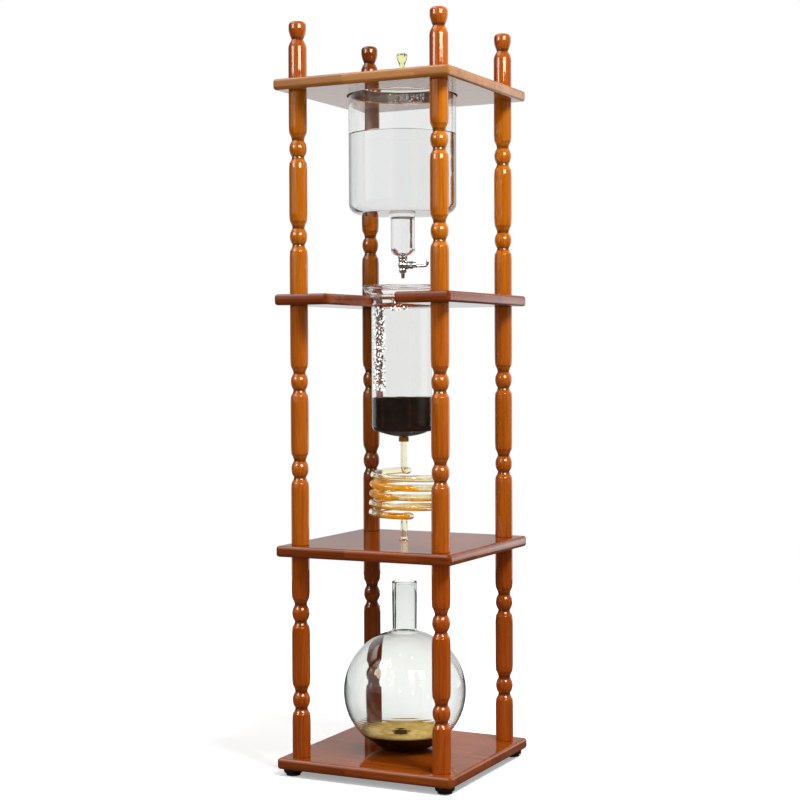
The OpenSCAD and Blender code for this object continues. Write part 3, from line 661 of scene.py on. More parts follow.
def new_piece(name, shape, body, material, replaces=None):
    """A closed mesh in millimetres made into a piece that rides on a CAD body."""
    points, faces = shape
    mesh = bpy.data.meshes.new(name)
    mesh.from_pydata([tuple(c * MM for c in p) for p in points], [], faces)
    mesh.validate()
    mesh.materials.append(material)
    mesh.shade_smooth()
    mesh.set_sharp_from_angle(angle=SHARP_ANGLE)
    piece = bpy.data.objects.new(name, mesh)
    bpy.context.scene.collection.objects.link(piece)
    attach(piece, body)
    if replaces:
        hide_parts(replaces)


def dress(node, shape, body, material):
    """The piece that is seen in place of a CAD node."""
    new_piece(f"{node}_look", shape, body, material, node)


def arc(x, z, r, start, end, steps=ARC_STEPS):
    """Points of a circle's arc from the angle start to the angle end, in degrees."""
    turns = [math.radians(start + (end - start) * i / steps) for i in range(steps + 1)]
    return [(x + r * math.cos(t), z + r * math.sin(t)) for t in turns]


def curve(f, steps=ARC_STEPS, first=0):
    """Points f(t) for t from 0 to 1; first = 1 leaves the first one out."""
    return [f(i / steps) for i in range(first, steps + 1)]


def sin90(t):
    return math.sin(math.pi / 2 * t)


def cos90(t):
    return math.cos(math.pi / 2 * t)


def firm(outline, closed, reach=0.35, long=2.5):
    """Adds a point near both ends of each long straight stretch, so that its shading stays even."""
    points = []
    count = len(outline)
    for i, here in enumerate(outline):
        points.append(here)
        if i == count - 1 and not closed:
            break
        there = outline[(i + 1) % count]
        run = math.dist(here, there)
        if run > long:
            step = ((there[0] - here[0]) / run * reach, (there[1] - here[1]) / run * reach)
            if here[0] > 0:
                points.append((here[0] + step[0], here[1] + step[1]))
            if there[0] > 0:
                points.append((there[0] - step[0], there[1] - step[1]))
    return points


def without_repeats(outline):
    kept = [outline[0]]
    for point in outline[1:]:
        if math.dist(point, kept[-1]) > 1e-4:
            kept.append(point)
    return kept


def band(low, high, inward=False):
    """Faces between two rings, each given by the numbers of its points."""
    count = len(low)
    faces = [(low[k], low[(k + 1) % count], high[(k + 1) % count], high[k]) for k in range(count)]
    return [(a, d, c, b) for a, b, c, d in faces] if inward else faces


def turned(outline, centre=(0, 0), segments=SEGMENTS):
    """Points and faces of an outline of (radius, height) turned about a vertical axis. An outline that
    starts and ends on the axis makes a solid, any other is closed into a ring."""
    outline = without_repeats(outline)
    closed = outline[0][0] > 0
    outline = firm(outline, closed)
    points, rows, faces = [], [], []
    for r, z in outline:
        if r <= 0:
            rows.append([len(points)] * segments)
            points.append((centre[0], centre[1], z))
        else:
            rows.append(list(range(len(points), len(points) + segments)))
            for k in range(segments):
                a = math.tau * k / segments
                points.append((centre[0] + r * math.cos(a), centre[1] + r * math.sin(a), z))
    for low, high in list(zip(rows, rows[1:])) + ([(rows[-1], rows[0])] if closed else []):
        faces += [tuple(dict.fromkeys(face)) for face in band(low, high)]
    return oriented(points, faces)


def enclosed_volume(points, faces):
    total = 0.0
    for face in faces:
        a = Vector(points[face[0]])
        for i in range(1, len(face) - 1):
            total += a.dot(Vector(points[face[i]]).cross(Vector(points[face[i + 1]])))
    return total / 6


def oriented(points, faces):
    """The same shape with its faces turned outwards."""
    if enclosed_volume(points, faces) < 0:
        faces = [tuple(reversed(face)) for face in faces]
    return points, faces


def joined(parts):
    """Several lists of points and faces as one."""
    points, faces = [], []
    for more_points, more_faces in parts:
        start = len(points)
        points += more_points
        faces += [tuple(i + start for i in face) for face in more_faces]
    return points, faces


# ---- boards


CORNER_STEPS = 8


def rounded_corner(x, y, r, start, steps=CORNER_STEPS):
    """Outline entries (x, y, normal into the wood, edge rounding) of a convex plan corner."""
    entries = []
    for i in range(steps + 1):
        a = math.radians(start + 90 * i / steps)
        entries.append((x + r * math.cos(a), y + r * math.sin(a), -math.cos(a), -math.sin(a), EDGE_R))
    return entries


def square_outline():
    inner = BOARD_W / 2 - PLAN_R
    return (rounded_corner(inner, inner, PLAN_R, 0) + rounded_corner(-inner, inner, PLAN_R, 90)
            + rounded_corner(-inner, -inner, PLAN_R, 180) + rounded_corner(inner, -inner, PLAN_R, 270))


def notched_outline(soft=1.0, side_steps=16, bow_steps=48):
    """The square with a U-shaped notch open to the front; soft is the rounding of the notch's edges."""
    outline = square_outline()
    last_left = 3 * (CORNER_STEPS + 1)
    start = PLAN_R - BOARD_W / 2
    left_mouth = rounded_corner(-NOTCH_R - PLAN_R, start, PLAN_R, 270)
    right_mouth = rounded_corner(NOTCH_R + PLAN_R, start, PLAN_R, 180)
    side = []
    for i in range(1, side_steps):
        t = i / side_steps
        edge = soft + (EDGE_R - soft) * min(1.0, max(0.0, 1.6 - 2.4 * t))
        side.append((start - start * t, edge))
    left_side = [(-NOTCH_R, y, -1, 0, r) for y, r in side]
    right_side = [(NOTCH_R, y, 1, 0, r) for y, r in reversed(side)]
    bow = ring_entries(NOTCH_R, [math.radians(180 - 180 * i / bow_steps) for i in range(bow_steps + 1)], soft)
    return outline[:last_left] + left_mouth + left_side + bow + right_side + right_mouth + outline[last_left:]


def ring_entries(r, angles, soft):
    return [(r * math.cos(a), r * math.sin(a), math.cos(a), math.sin(a), soft) for a in angles]


def hole_outline(r, soft=0.7, steps=96):
    return ring_entries(r, [-math.tau * i / steps for i in range(steps)], soft)


def board(outlines, top):
    """Points and faces of a board. The first outline is its rim, the others are holes. Each edge is a
    quarter round, with one more ring just inside it so that the flat faces shade evenly."""
    bottom = top - BOARD_T
    quarter = [math.radians(90 * i / 7) for i in range(8)]
    flat = 0.45
    points, faces, rims = [], [], {"top": [], "bottom": []}
    for outline in outlines:
        levels = [("bottom", flat, 90)] + [("bottom", 0, math.degrees(t)) for t in reversed(quarter)]
        levels += [("top", 0, math.degrees(t)) for t in quarter] + [("top", flat, 90)]
        rows = []
        for side, more, angle in levels:
            t = math.radians(angle)
            row = []
            for x, y, nx, ny, r in outline:
                inset = r * (1 - math.cos(t)) + more
                rise = r * (1 - math.sin(t))
                row.append(len(points))
                z = top - rise if side == "top" else bottom + rise
                points.append((x + nx * inset, y + ny * inset, z))
            rows.append(row)
        for low, high in zip(rows, rows[1:]):
            faces += band(low, high)
        rims["bottom"].append(rows[0])
        rims["top"].append(rows[-1])
    for side, loops in rims.items():
        order = [i for loop in loops for i in loop]
        shapes = [[Vector(points[i]) for i in loop] for loop in loops]
        for a, b, c in tessellate_polygon(shapes):
            face = (order[a], order[b], order[c])
            p, q, r = (Vector(points[i]) for i in face)
            upward = (q - p).cross(r - p).z > 0
            faces.append(face if upward == (side == "top") else face[::-1])
    return points, faces


# ---- outlines of the turned pieces


def bead(z, steps=16):
    rise = BEAD_R - NECK_R
    return [(BEAD_R - rise * abs(2 * i / steps - 1) ** 2.2, z + BEAD_LEN * i / steps)
            for i in range(1, steps)]


def turning(z):
    """A bead between a flared cove below and a cove above; the straight parts ease down to both."""
    rim, top = POST_R - EASE, z + BEAD_LEN
    return (curve(lambda t: (POST_R - EASE * (1 - cos90(t)), z - FLARE_LEN - EASE_LEN * (1 - t)))
            + curve(lambda t: (rim - (rim - NECK_R) * sin90(t), z - FLARE_LEN * (1 - t)), first=1)
            + bead(z)
            + curve(lambda t: (rim - (rim - NECK_R) * cos90(t), top + COVE_LEN * t))
            + curve(lambda t: (POST_R - EASE * (1 - sin90(t)), top + COVE_LEN + EASE_LEN * t), first=1))


def post_foot():
    """Lower end of a spindle or finial: the stud's hole and the softened rim."""
    return ([(0, STUD_BORE), (STUD_BORE_R, STUD_BORE), (STUD_BORE_R, 0)]
            + arc(POST_R - POST_SOFT, POST_SOFT, POST_SOFT, -90, 0, 4))


def spindle_outline(base, top):
    length = top - base
    body = turning((length - BARREL_LEN) / 2 - BEAD_LEN) + turning((length + BARREL_LEN) / 2)
    head = arc(POST_R - POST_SOFT, length - POST_SOFT, POST_SOFT, 0, 90, 4)
    head += [(STUD_BORE_R, length), (STUD_BORE_R, length - STUD_BORE), (0, length - STUD_BORE)]
    return [(r, z + base) for r, z in post_foot() + body + head]


def finial_outline():
    waist = NECK_R - 0.6
    cap = 6
    h = FINIAL_H
    outline = (post_foot()
               + curve(lambda t: (POST_R - (POST_R - waist) * (1 - cos90(t)), h - 39 + 13 * t))
               + curve(lambda t: (waist + (BEAD_R - waist) * sin90(t), h - 26 + 16 * t), first=1)
               + arc(BEAD_R - cap, h - cap, cap, 0, 90) + [(0, h)])
    return [(r, z + TOP_TOP) for r, z in outline]


def puck_outline():
    half = PUCK_H / 2
    return ([(0, PAD_H)] + arc(PUCK_R - half, PAD_H + half, half, -90, 0)
            + arc(PUCK_R - 0.5, PAD_H + PUCK_H - 0.5, 0.5, 0, 90, 4) + [(0, PAD_H + PUCK_H)])


def pad_outline():
    r = PUCK_R - PUCK_H / 2
    return ([(0, 0)] + arc(r - 0.5, 0.5, 0.5, -90, 0, 4)
            + arc(r - 0.2, PAD_H - 0.2, 0.2, 0, 90, 3) + [(0, PAD_H)])


def gasket_outline():
    low, high, soft = TOP_TOP - BOARD_T + 2, TOP_TOP + GASKET_T, 0.4
    skirt = [(GASKET_R, low), (GASKET_SKIRT_R - soft, low), (GASKET_SKIRT_R, low + soft)]
    flange = [(GASKET_SKIRT_R, TOP_TOP), (GASKET_FLANGE_R - soft, TOP_TOP)]
    flange += arc(GASKET_FLANGE_R - 0.75, TOP_TOP + 0.75, 0.75, -60, 90, 6)
    return skirt + flange + [(GASKET_R + soft, high), (GASKET_R, high - soft)]


def vessel_outline():
    r, w, c, n, f, z = VESSEL_R, VESSEL_WALL, VESSEL_CORNER, VESSEL_NECK_R, VESSEL_FILLET, VESSEL_FLOOR
    soft = 1.2
    outer = ([(SPOUT_R, SPOUT_END), (SPOUT_R, NECK_END - CONE_H)]
             + curve(lambda t: (SPOUT_R + (n - SPOUT_R) * sin90(t), NECK_END - CONE_H * cos90(t)), first=1)
             + arc(n + f, z - f, f, 180, 90) + arc(r - c, z + c, c, -90, 0)
             + [(r, RIM_UNDER - 2)] + arc(r + 1.5, RIM_UNDER - 1.5, 1.5, 180, 90, 5)
             + [(RIM_R - 1, RIM_UNDER)] + arc(RIM_R - soft, RIM_UNDER + soft, soft, -90, 0, 5)
             + arc(RIM_R - soft, RIM_TOP - soft, soft, 0, 90, 5))
    inner = arc(r - w + soft, RIM_TOP - soft, soft, 90, 180, 5) + vessel_inside(0)
    return outer + inner + [(SPOUT_BORE, SPOUT_END)]


def vessel_inside(overlap):
    """The vessel's inner wall from the corner down to the spout, moved out by overlap into the glass."""
    r, w, c, n, f, z = VESSEL_R, VESSEL_WALL, VESSEL_CORNER, VESSEL_NECK_R, VESSEL_FILLET, VESSEL_FLOOR
    return (arc(r - c, z + c, c - w + overlap, 0, -90) + arc(n + f, z - f, f + w - overlap, 90, 180)
            + curve(lambda t: (SPOUT_BORE + overlap + (n - w - SPOUT_BORE) * cos90(t),
                               NECK_END + w - overlap - CONE_H * sin90(t))))


def water_outline():
    """Water with the small upturned edge that it has against glass."""
    wall = VESSEL_R - VESSEL_WALL + WET_OVERLAP
    edge = curve(lambda t: (wall - 2.4 * (1 - t), WATER_LEVEL + 1.5 * t ** 3), 8)
    low = NECK_END + VESSEL_WALL
    inside = [p for p in vessel_inside(WET_OVERLAP) if p[1] > low]
    return [(0, WATER_LEVEL)] + edge + inside + [(inside[-1][0], low), (0, low)]


def lid_outline():
    outer, inner = LID_SKIRT_R, LID_SKIRT_R - LID_SKIRT_T
    low, soft, round_edge = LID_BASE - LID_SKIRT_DROP, LID_SKIRT_SOFT, LID_T / 2
    last = math.acos(KNOB_FLAT / outer)
    upper = curve(lambda t: (outer * math.cos(last * t),
                             LID_BASE + LID_T + LID_RISE * math.sin(last * t) / math.sin(last)), 32)
    under = curve(lambda t: (inner * sin90(t), LID_BASE + LID_RISE * cos90(t)), 32)
    return ([(0, LID_TOP)] + upper[::-1] + arc(LID_R - round_edge, LID_BASE + round_edge, round_edge, 90, -90)
            + [(outer, LID_BASE), (outer, low)] + arc(outer - soft, low, soft, 0, -90, 4)
            + arc(inner + soft, low, soft, -90, -180, 4) + under[::-1])


def knob_outline():
    cup_h, cap_h = 13, 3
    cup_z = KNOB_H - cup_h - cap_h
    foot, foot_h = 5, 3
    rise = KNOB_R - KNOB_STEM - 0.9
    outline = ([(0, 0), (foot - 0.4, 0), (foot, 0.4), (foot, 0.8)]
               + curve(lambda t: (foot - (foot - KNOB_STEM) * sin90(t), 0.8 + 2.2 * (1 - cos90(t))), 8, 1)
               + curve(lambda t: (KNOB_STEM + 0.9 * t ** 3, foot_h + (cup_z - foot_h) * t), 8, 1)
               + curve(lambda t: (KNOB_STEM + 0.9 + rise * sin90(t), cup_z + cup_h * t), first=1)
               + curve(lambda t: (KNOB_R * cos90(t), KNOB_H - cap_h * (1 - sin90(t))), first=1))
    outline[-1] = (0, KNOB_H)
    return [(r, z + LID_TOP) for r, z in outline]


def bowl_z(r):
    return CHAMBER_BOTTOM + CHAMBER_WALL + BOWL_RISE * (r / BOWL_R) ** 2


def bowl_points(start, end, drop=0):
    """Points on the bowl's inner face between two radii, or drop below it."""
    return curve(lambda t: (start + (end - start) * t, bowl_z(start + (end - start) * t) - drop), 16)


def chamber_outline():
    r, w, c = CHAMBER_R, CHAMBER_WALL, CHAMBER_CORNER
    edge = CHAMBER_BOTTOM + BOWL_RISE + c
    roll = RIM_ROLL / 2
    flare, neck = SEAT_R - r, MIDDLE_TOP - 1 - THROAT_Z
    seat = MIDDLE_TOP + 0.3
    outer = ([(OUTLET_R, OUTLET_Z)] + bowl_points(OUTLET_R, BOWL_R, w) + arc(BOWL_R, edge, c, -75, 0)
             + curve(lambda t: (r + flare * (1 - cos90(t)), THROAT_Z + neck * sin90(t)), 10)
             + [(SEAT_R, seat)]
             + curve(lambda t: (SEAT_R + (FLANGE_R - 2 - SEAT_R) * sin90(t), seat + 8.7 * t), 8, 1)
             + arc(FLANGE_R - roll, FLANGE_TOP - roll, roll, -60, 150, 20))
    inner = ([(SEAT_R - w + 0.6, MIDDLE_TOP + 3), (SEAT_R - w, MIDDLE_TOP)]
             + curve(lambda t: (r - w + flare * (1 - sin90(t)), MIDDLE_TOP - 1 - (neck + 1) * t), 10)
             + arc(BOWL_R, edge, c - w, 0, -75)
             + bowl_points(BOWL_R, OUTLET_BORE) + [(OUTLET_BORE, OUTLET_Z)])
    return outer + inner


def filter_outline():
    """The soaked disc hangs down onto the bowl."""
    sag = [FILTER_R * i / 10 for i in range(10)]
    return ([(r, bowl_z(max(r, OUTLET_BORE)) - WET_OVERLAP) for r in sag]
            + [(FILTER_R, bowl_z(FILTER_R) + 0.4), (FILTER_R, bowl_z(FILTER_R) + FILTER_T - 0.5)]
            + [(r, bowl_z(r) + FILTER_T) for r in reversed(sag)])


def sleeve_outline():
    bore, top = TUBE_R + 0.08, SLEEVE_Z + SLEEVE_H
    ridges = curve(lambda t: (SLEEVE_R - 0.35 * (1 - abs(math.cos(3 * math.pi * t))),
                              SLEEVE_Z + 0.8 + (SLEEVE_H - 1.6) * t), 24)
    return [(bore, SLEEVE_Z), (SLEEVE_R - 0.6, SLEEVE_Z)] + ridges + [(SLEEVE_R - 0.6, top), (bore, top)]


def flask_outline():
    n, f, w = FLASK_NECK_R, FLASK_FILLET, FLASK_WALL
    rise = math.degrees(math.asin((GLOBE_Z - FLASK_BASE) / GLOBE_R))
    inner_r = GLOBE_R - w
    joint_z, tilt = globe_joint(GLOBE_R, n + f, f)
    inner_z, inner_tilt = globe_joint(inner_r, n + f, f + w)
    floor_z = FLASK_BASE + w + FLASK_FLOOR_RISE
    inner_floor = math.degrees(math.asin((GLOBE_Z - floor_z) / inner_r))
    outer = ([(0, FLASK_BASE + 1.2), (FLAT_R * 0.55, FLASK_BASE + 0.9), (FLAT_R - 4, FLASK_BASE)]
             + arc(0, GLOBE_Z, GLOBE_R, -rise, tilt, 56) + arc(n + f, joint_z, f, 180 + tilt, 180, 8)
             + arc(n + 0.9 - 1.6, FLASK_TOP - 1.6, 1.6, 0, 90, 6))
    inner = (arc(n - w + 0.9, FLASK_TOP - 0.9, 0.9, 90, 180, 5)
             + arc(n + f, inner_z, f + w, 180, 180 + inner_tilt, 8)
             + arc(0, GLOBE_Z, inner_r, inner_tilt, -inner_floor, 56) + [(0, floor_z + 0.9)])
    return outer + inner


def globe_joint(globe, centre_r, fillet):
    """Where a concave fillet centred at centre_r touches a globe from outside: height and tilt."""
    reach = globe + fillet
    z = math.sqrt(reach * reach - centre_r * centre_r)
    return GLOBE_Z + z, math.degrees(math.atan2(z, centre_r))


def brewed_outline():
    r = GLOBE_R - FLASK_WALL + WET_OVERLAP
    floor_z = FLASK_BASE + FLASK_WALL + FLASK_FLOOR_RISE - WET_OVERLAP
    low = math.degrees(math.asin((GLOBE_Z - floor_z) / r))
    high = math.degrees(math.asin((GLOBE_Z - COFFEE_LEVEL - 0.7) / r))
    edge_r = r * math.cos(math.radians(high))
    lip = curve(lambda t: (edge_r - 2.2 * t, COFFEE_LEVEL + 0.7 * (1 - t) ** 3), 6, 1)
    return [(0, floor_z + 0.9)] + arc(0, GLOBE_Z, r, -low, -high, 20) + lip + [(0, COFFEE_LEVEL)]


def tap_body_outline():
    """Ringed barrel of the tap: (radius, height) of its outside from the nozzle up, then its bores."""
    rings = [(3.8, 733.8), (5.2, 734.6), (6.0, 736.2), (6.1, 737.6), (5.1, 739.2), (5.0, 739.8), (6.4, 741.2),
             (7.2, 743.4), (7.3, 746.4), (6.8, 748.4), (5.5, 749.8), (5.9, 750.4), (6.9, 751.4), (7.1, 752.8),
             (6.6, 754.0), (6.3, 754.4), (7.3, 755.2), (7.6, 756.4), (7.5, 757.8), (6.9, 758.8)]
    smooth = []
    for before, here, after in zip(rings, rings[1:], rings[2:]):
        smooth += [tuple(0.15 * b + 0.85 * h for b, h in zip(before, here)), here,
                   tuple(0.15 * a + 0.85 * h for a, h in zip(after, here))]
    bores = [(TAP_SOCKET_R, rings[-1][1]), (TAP_SOCKET_R, TAP_SOCKET_Z), (TAP_BORE, TAP_SOCKET_Z)]
    return [(TAP_BORE, rings[0][1]), rings[0]] + smooth + [rings[-1]] + bores


def lying(shape, height):
    """A shape turned about the vertical axis laid along +X at that height."""
    points, faces = shape
    return [(z, -y, height + x) for x, y, z in points], faces


def boss_outline():
    """Conical boss round the plug, from inside the barrel to the packing nut."""
    return [(PLUG_R, 3.5), (6.2, 3.5), (6.2, 7.4), (5.6, 8.6), (5.2, 11.6), (5.6, 12.0), (5.6, 12.8),
            (PLUG_R, 12.8)]


# ---- drip coil


UP = Vector((0, 0, 1))
BEND_RINGS = 12
SPIRAL_RINGS = 40
TURN_RINGS = 84
STEM_PLACES = (0.08, 0.2, 0.4, 0.6, 0.8, 0.9, 0.94, 0.97, 0.985, 1.0)


def around(a):
    return Vector((math.cos(math.radians(a)), math.sin(math.radians(a)), 0))


def turn_r(a):
    return FIRST_TURN_R + (LAST_TURN_R - FIRST_TURN_R) * (a - ENTRY_ANGLE) / (EXIT_ANGLE - ENTRY_ANGLE)


def bend_ring(t, a, z, side):
    """The bend between an upright stem on the axis and the level: centre and up vector at t."""
    q = math.radians(90 * t)
    middle = around(a) * BEND_R * (1 - math.cos(q)) + UP * (z + side * BEND_R * (1 - math.sin(q)))
    return middle, around(a) * side * math.cos(q) + UP * math.sin(q)


def spiral_ring(t, a, z, side):
    """The spiral between that bend and the coil's full width: centre and angle at t."""
    angle = a + side * SPIRAL_SWEEP * t * t
    reach = BEND_R + (turn_r(angle) - BEND_R) * sin90(t)
    return around(angle) * reach + UP * (z - side * COIL_PITCH * SPIRAL_SWEEP * t * t / 360), angle


def coil_path():
    """The tube's path from the inlet to the lip: (centre, up vector, outer radius, angle). The
    straight and bent parts have angles beyond the entry's and the exit's, so that no slug holds them."""
    path = []
    for i in range(6):
        z = INLET_TOP + (ENTRY_Z + BEND_R - INLET_TOP) * i / 6
        path.append((UP * z, around(ENTRY_ANGLE), TUBE_R, ENTRY_ANGLE - 40))
    for i in range(BEND_RINGS + 1):
        middle, up = bend_ring(i / BEND_RINGS, ENTRY_ANGLE, ENTRY_Z, 1)
        path.append((middle, up, TUBE_R, ENTRY_ANGLE - 20))
    for i in range(1, SPIRAL_RINGS + 1):
        middle, angle = spiral_ring(i / SPIRAL_RINGS, ENTRY_ANGLE, ENTRY_Z, 1)
        path.append((middle, UP, TUBE_R, angle))
    start, end = ENTRY_ANGLE + SPIRAL_SWEEP, EXIT_ANGLE - SPIRAL_SWEEP
    rings = round((end - start) / 360 * TURN_RINGS)
    for i in range(1, rings):
        a = start + (end - start) * i / rings
        z = ENTRY_Z - COIL_PITCH * (a - ENTRY_ANGLE) / 360
        path.append((around(a) * turn_r(a) + UP * z, UP, TUBE_R, a))
    for i in range(SPIRAL_RINGS, 0, -1):
        middle, angle = spiral_ring(i / SPIRAL_RINGS, EXIT_ANGLE, EXIT_Z, -1)
        path.append((middle, UP, TUBE_R, angle))
    for i in range(BEND_RINGS, -1, -1):
        middle, up = bend_ring(i / BEND_RINGS, EXIT_ANGLE, EXIT_Z, -1)
        path.append((middle, up, TUBE_R, EXIT_ANGLE + 20))
    top, low = EXIT_Z - BEND_R, LIP_Z
    for t in STEM_PLACES:
        flare = max(0.0, (t - 0.88) / 0.12)
        r = TUBE_R + (EXIT_STEM_R - TUBE_R) * min(1, t / 0.2) + (LIP_R - EXIT_STEM_R) * sin90(flare) ** 2
        path.append((UP * (top + (low - top) * t), -around(EXIT_ANGLE), r, EXIT_ANGLE + 40))
    return path


def ring_frames(path):
    """Centre, sideways and upward unit vectors and outer radius of each ring, square to the path."""
    frames = []
    last = len(path) - 1
    for i, (middle, up, r, _) in enumerate(path):
        if i in (0, last):
            ahead = -UP
        else:
            ahead = (path[i + 1][0] - path[i - 1][0]).normalized()
        side = ahead.cross(up).normalized()
        frames.append((middle, side, side.cross(ahead), r))
    return frames


def ring_rows(count, sides, first=0):
    return [list(range(first + i * sides, first + (i + 1) * sides)) for i in range(count)]


def tube_between(frames, outer, inner, sides=24):
    """A tube with annular ends; outer and inner give the two radii from the path's own radius."""
    points = []
    for shape in (outer, inner):
        for middle, side, up, r in frames:
            for k in range(sides):
                a = math.tau * k / sides
                points.append(tuple(middle + shape(r) * (math.cos(a) * side + math.sin(a) * up)))
    count = len(frames)
    outside, inside = ring_rows(count, sides), ring_rows(count, sides, count * sides)
    faces = []
    for i in range(count - 1):
        faces += band(outside[i], outside[i + 1]) + band(inside[i], inside[i + 1], inward=True)
    faces += band(outside[0], inside[0], inward=True) + band(inside[-1], outside[-1])
    return oriented(points, faces)


def slug_between(frames, section):
    """A solid run of liquid in the tube, smaller at both ends; section is (sideways, upward) points."""
    points = []
    sides, count = len(section), len(frames)
    for i, (middle, side, up, _) in enumerate(frames):
        size = min(1.0, 0.45 + 0.2 * min(i, count - 1 - i))
        for x, y in section:
            points.append(tuple(middle + side * x * size + up * (y * size - (1 - size))))
    rows = ring_rows(count, sides)
    faces = [face for low, high in zip(rows, rows[1:]) for face in band(low, high)]
    faces += [tuple(rows[0][::-1]), tuple(rows[-1])]
    return oriented(points, faces)


def arc_section(r, start, end, count):
    angles = [start + (end - start) * k / (count - 1) for k in range(count)]
    return [(r * math.cos(a), r * math.sin(a)) for a in angles]


def full_section(r, sides=16):
    return arc_section(r, 0, math.tau, sides + 1)[:-1]


def shallow_section(r, level, sides=14):
    """The part of a circle below a level line."""
    low = math.asin(level / r)
    return arc_section(r, math.pi - low, math.tau + low, sides)


# ---- drops and grounds


def drops(spots, seed, rows=7, columns=12, flatness=0.55):
    """Small flattened drops: each spot is (centre, way off the wall, radius)."""
    chance = random.Random(seed)
    parts = []
    for centre, away, r in spots:
        away = away.normalized()
        side = away.cross(UP).normalized()
        down = away.cross(side)
        long = 1 + 0.35 * chance.random()
        rise = away * r * flatness
        points = [tuple(centre + rise)]
        for i in range(1, rows):
            polar = math.pi * i / rows
            wide = r * math.sin(polar)
            for k in range(columns):
                turn = math.tau * k / columns
                points.append(tuple(centre + rise * math.cos(polar)
                                    + side * wide * math.cos(turn) + down * long * wide * math.sin(turn)))
        points.append(tuple(centre - rise))
        rings = ring_rows(rows - 1, columns, 1)
        rings = [[0] * columns] + rings + [[len(points) - 1] * columns]
        faces = [tuple(dict.fromkeys(face))
                 for low, high in zip(rings, rings[1:]) for face in band(low, high, inward=True)]
        parts.append(oriented(points, faces))
    return joined(parts)


def wall_spot(r, angle, z, size):
    """A drop on the inside of an upright round wall; angle is off the way ahead, positive to the right."""
    a = math.radians(angle)
    out = math.cos(a) * AHEAD + math.sin(a) * RIGHT
    return Vector((out.x * r, out.y * r, z)), -out, size


def globe_spot(angle, z, size):
    """A drop on the inside of the flask's globe."""
    level_r = math.sqrt((GLOBE_R - FLASK_WALL) ** 2 - (z - GLOBE_Z) ** 2)
    centre = wall_spot(level_r, angle, z, size)[0]
    return centre, UP * GLOBE_Z - centre, size


def grounds_mesh():
    """The bed of ground coffee, its top uneven and a little lower in the middle."""
    r = CHAMBER_R - CHAMBER_WALL + WET_OVERLAP
    corner = CHAMBER_CORNER - CHAMBER_WALL + WET_OVERLAP
    edge = CHAMBER_BOTTOM + BOWL_RISE + CHAMBER_CORNER
    crown = [(r * (1 - i / 28), GROUNDS_TOP) for i in range(28)]
    outline = [(FILTER_R * i / 6, bowl_z(FILTER_R * i / 6) + FILTER_T + 0.05) for i in range(7)]
    outline += [(FILTER_R + 0.1, bowl_z(FILTER_R) - WET_OVERLAP)]
    outline += [(BOWL_R - 4, bowl_z(BOWL_R - 4) - WET_OVERLAP)] + arc(BOWL_R, edge, corner, -75, 0)
    outline += [(r, GROUNDS_TOP - drop) for drop in (14, 7, 3)] + crown + [(0, GROUNDS_TOP)]
    points, faces = turned(outline, segments=120)
    uneven = []
    for x, y, z in points:
        if z > GROUNDS_TOP - 3.5:
            place = Vector((x, y, 0))
            z += 1.3 * noise.noise(place * 0.07) + 0.6 * noise.noise(place * 0.35) + 0.25 * noise.noise(place)
            z -= 1.6 + 1.4 * (1 - math.hypot(x, y) / r)
        uneven.append((x, y, z))
    return uneven, faces


# ---- the pieces

# Post tones darken from the upper row to the lower: partly stain, partly painted shade of the lower posts,
# which get less light
TONES = {
    "finial": ((112, 44, 10), (168, 80, 18), (198, 108, 30)),
    "upper": ((146, 70, 8), (192, 104, 14), (214, 130, 28)),
    "middle": ((142, 62, 10), (188, 96, 18), (210, 118, 28)),
    "lower": ((124, 48, 2), (176, 78, 3), (200, 98, 8)),
    "base_board": ((100, 40, 8), (148, 68, 14), (172, 90, 24)),
    "lower_shelf": ((92, 34, 6), (138, 60, 12), (162, 82, 20)),
    "middle_shelf": ((88, 30, 6), (130, 54, 12), (152, 70, 20)),
    "top_shelf": ((134, 76, 30), (180, 116, 52), (204, 142, 74)),
}
# Painted shade and light of the posts at each corner: the back-left post is painted much darker for the light
# that it lacks, the others a little lighter or darker
PAINTED_POST_SHADING = {"fl": 1.0, "fr": 1.08, "bl": 0.5, "br": 0.95}

# The wood's figure, in lines a metre along x, y and z
UPRIGHT = (260, 260, 9)
ALONG_X = (9, 260, 260)

bpy.context.scene.view_settings.view_transform = "Standard"
make_camera()
make_world()
make_floor()
for lamp in LAMPS:
    area_lamp(*lamp)

board_outlines = {
    "base_board": ([square_outline()], BASE_TOP),
    "lower_shelf": ([square_outline(), hole_outline(DRIP_HOLE_R, 0.6, 48)], LOWER_TOP),
    "middle_shelf": ([notched_outline()], MIDDLE_TOP),
    "top_shelf": ([square_outline(), hole_outline(HOLE_R)], TOP_TOP),
}
for node, (outlines, top) in board_outlines.items():
    wood = lacquered_wood(f"{node}_wood", TONES[node], ALONG_X, planks=True)
    dress(node, board(outlines, top), "frame", wood)

post_outlines = {
    "lower": spindle_outline(BASE_TOP, LOWER_TOP - BOARD_T),
    "middle": spindle_outline(LOWER_TOP, MIDDLE_TOP - BOARD_T),
    "upper": spindle_outline(MIDDLE_TOP, TOP_TOP - BOARD_T),
    "finial": finial_outline(),
}
for row, outline in post_outlines.items():
    for corner, (sx, sy) in CORNERS.items():
        node = f"finial_{corner}" if row == "finial" else f"{row}_spindle_{corner}"
        wood = lacquered_wood(
            f"{row}_{corner}_wood", TONES[row], UPRIGHT, neck_stain_and_shade=True, painted_shading=PAINTED_POST_SHADING[corner])
        dress(node, turned(outline, (sx * POST, sy * POST)), "frame", wood)

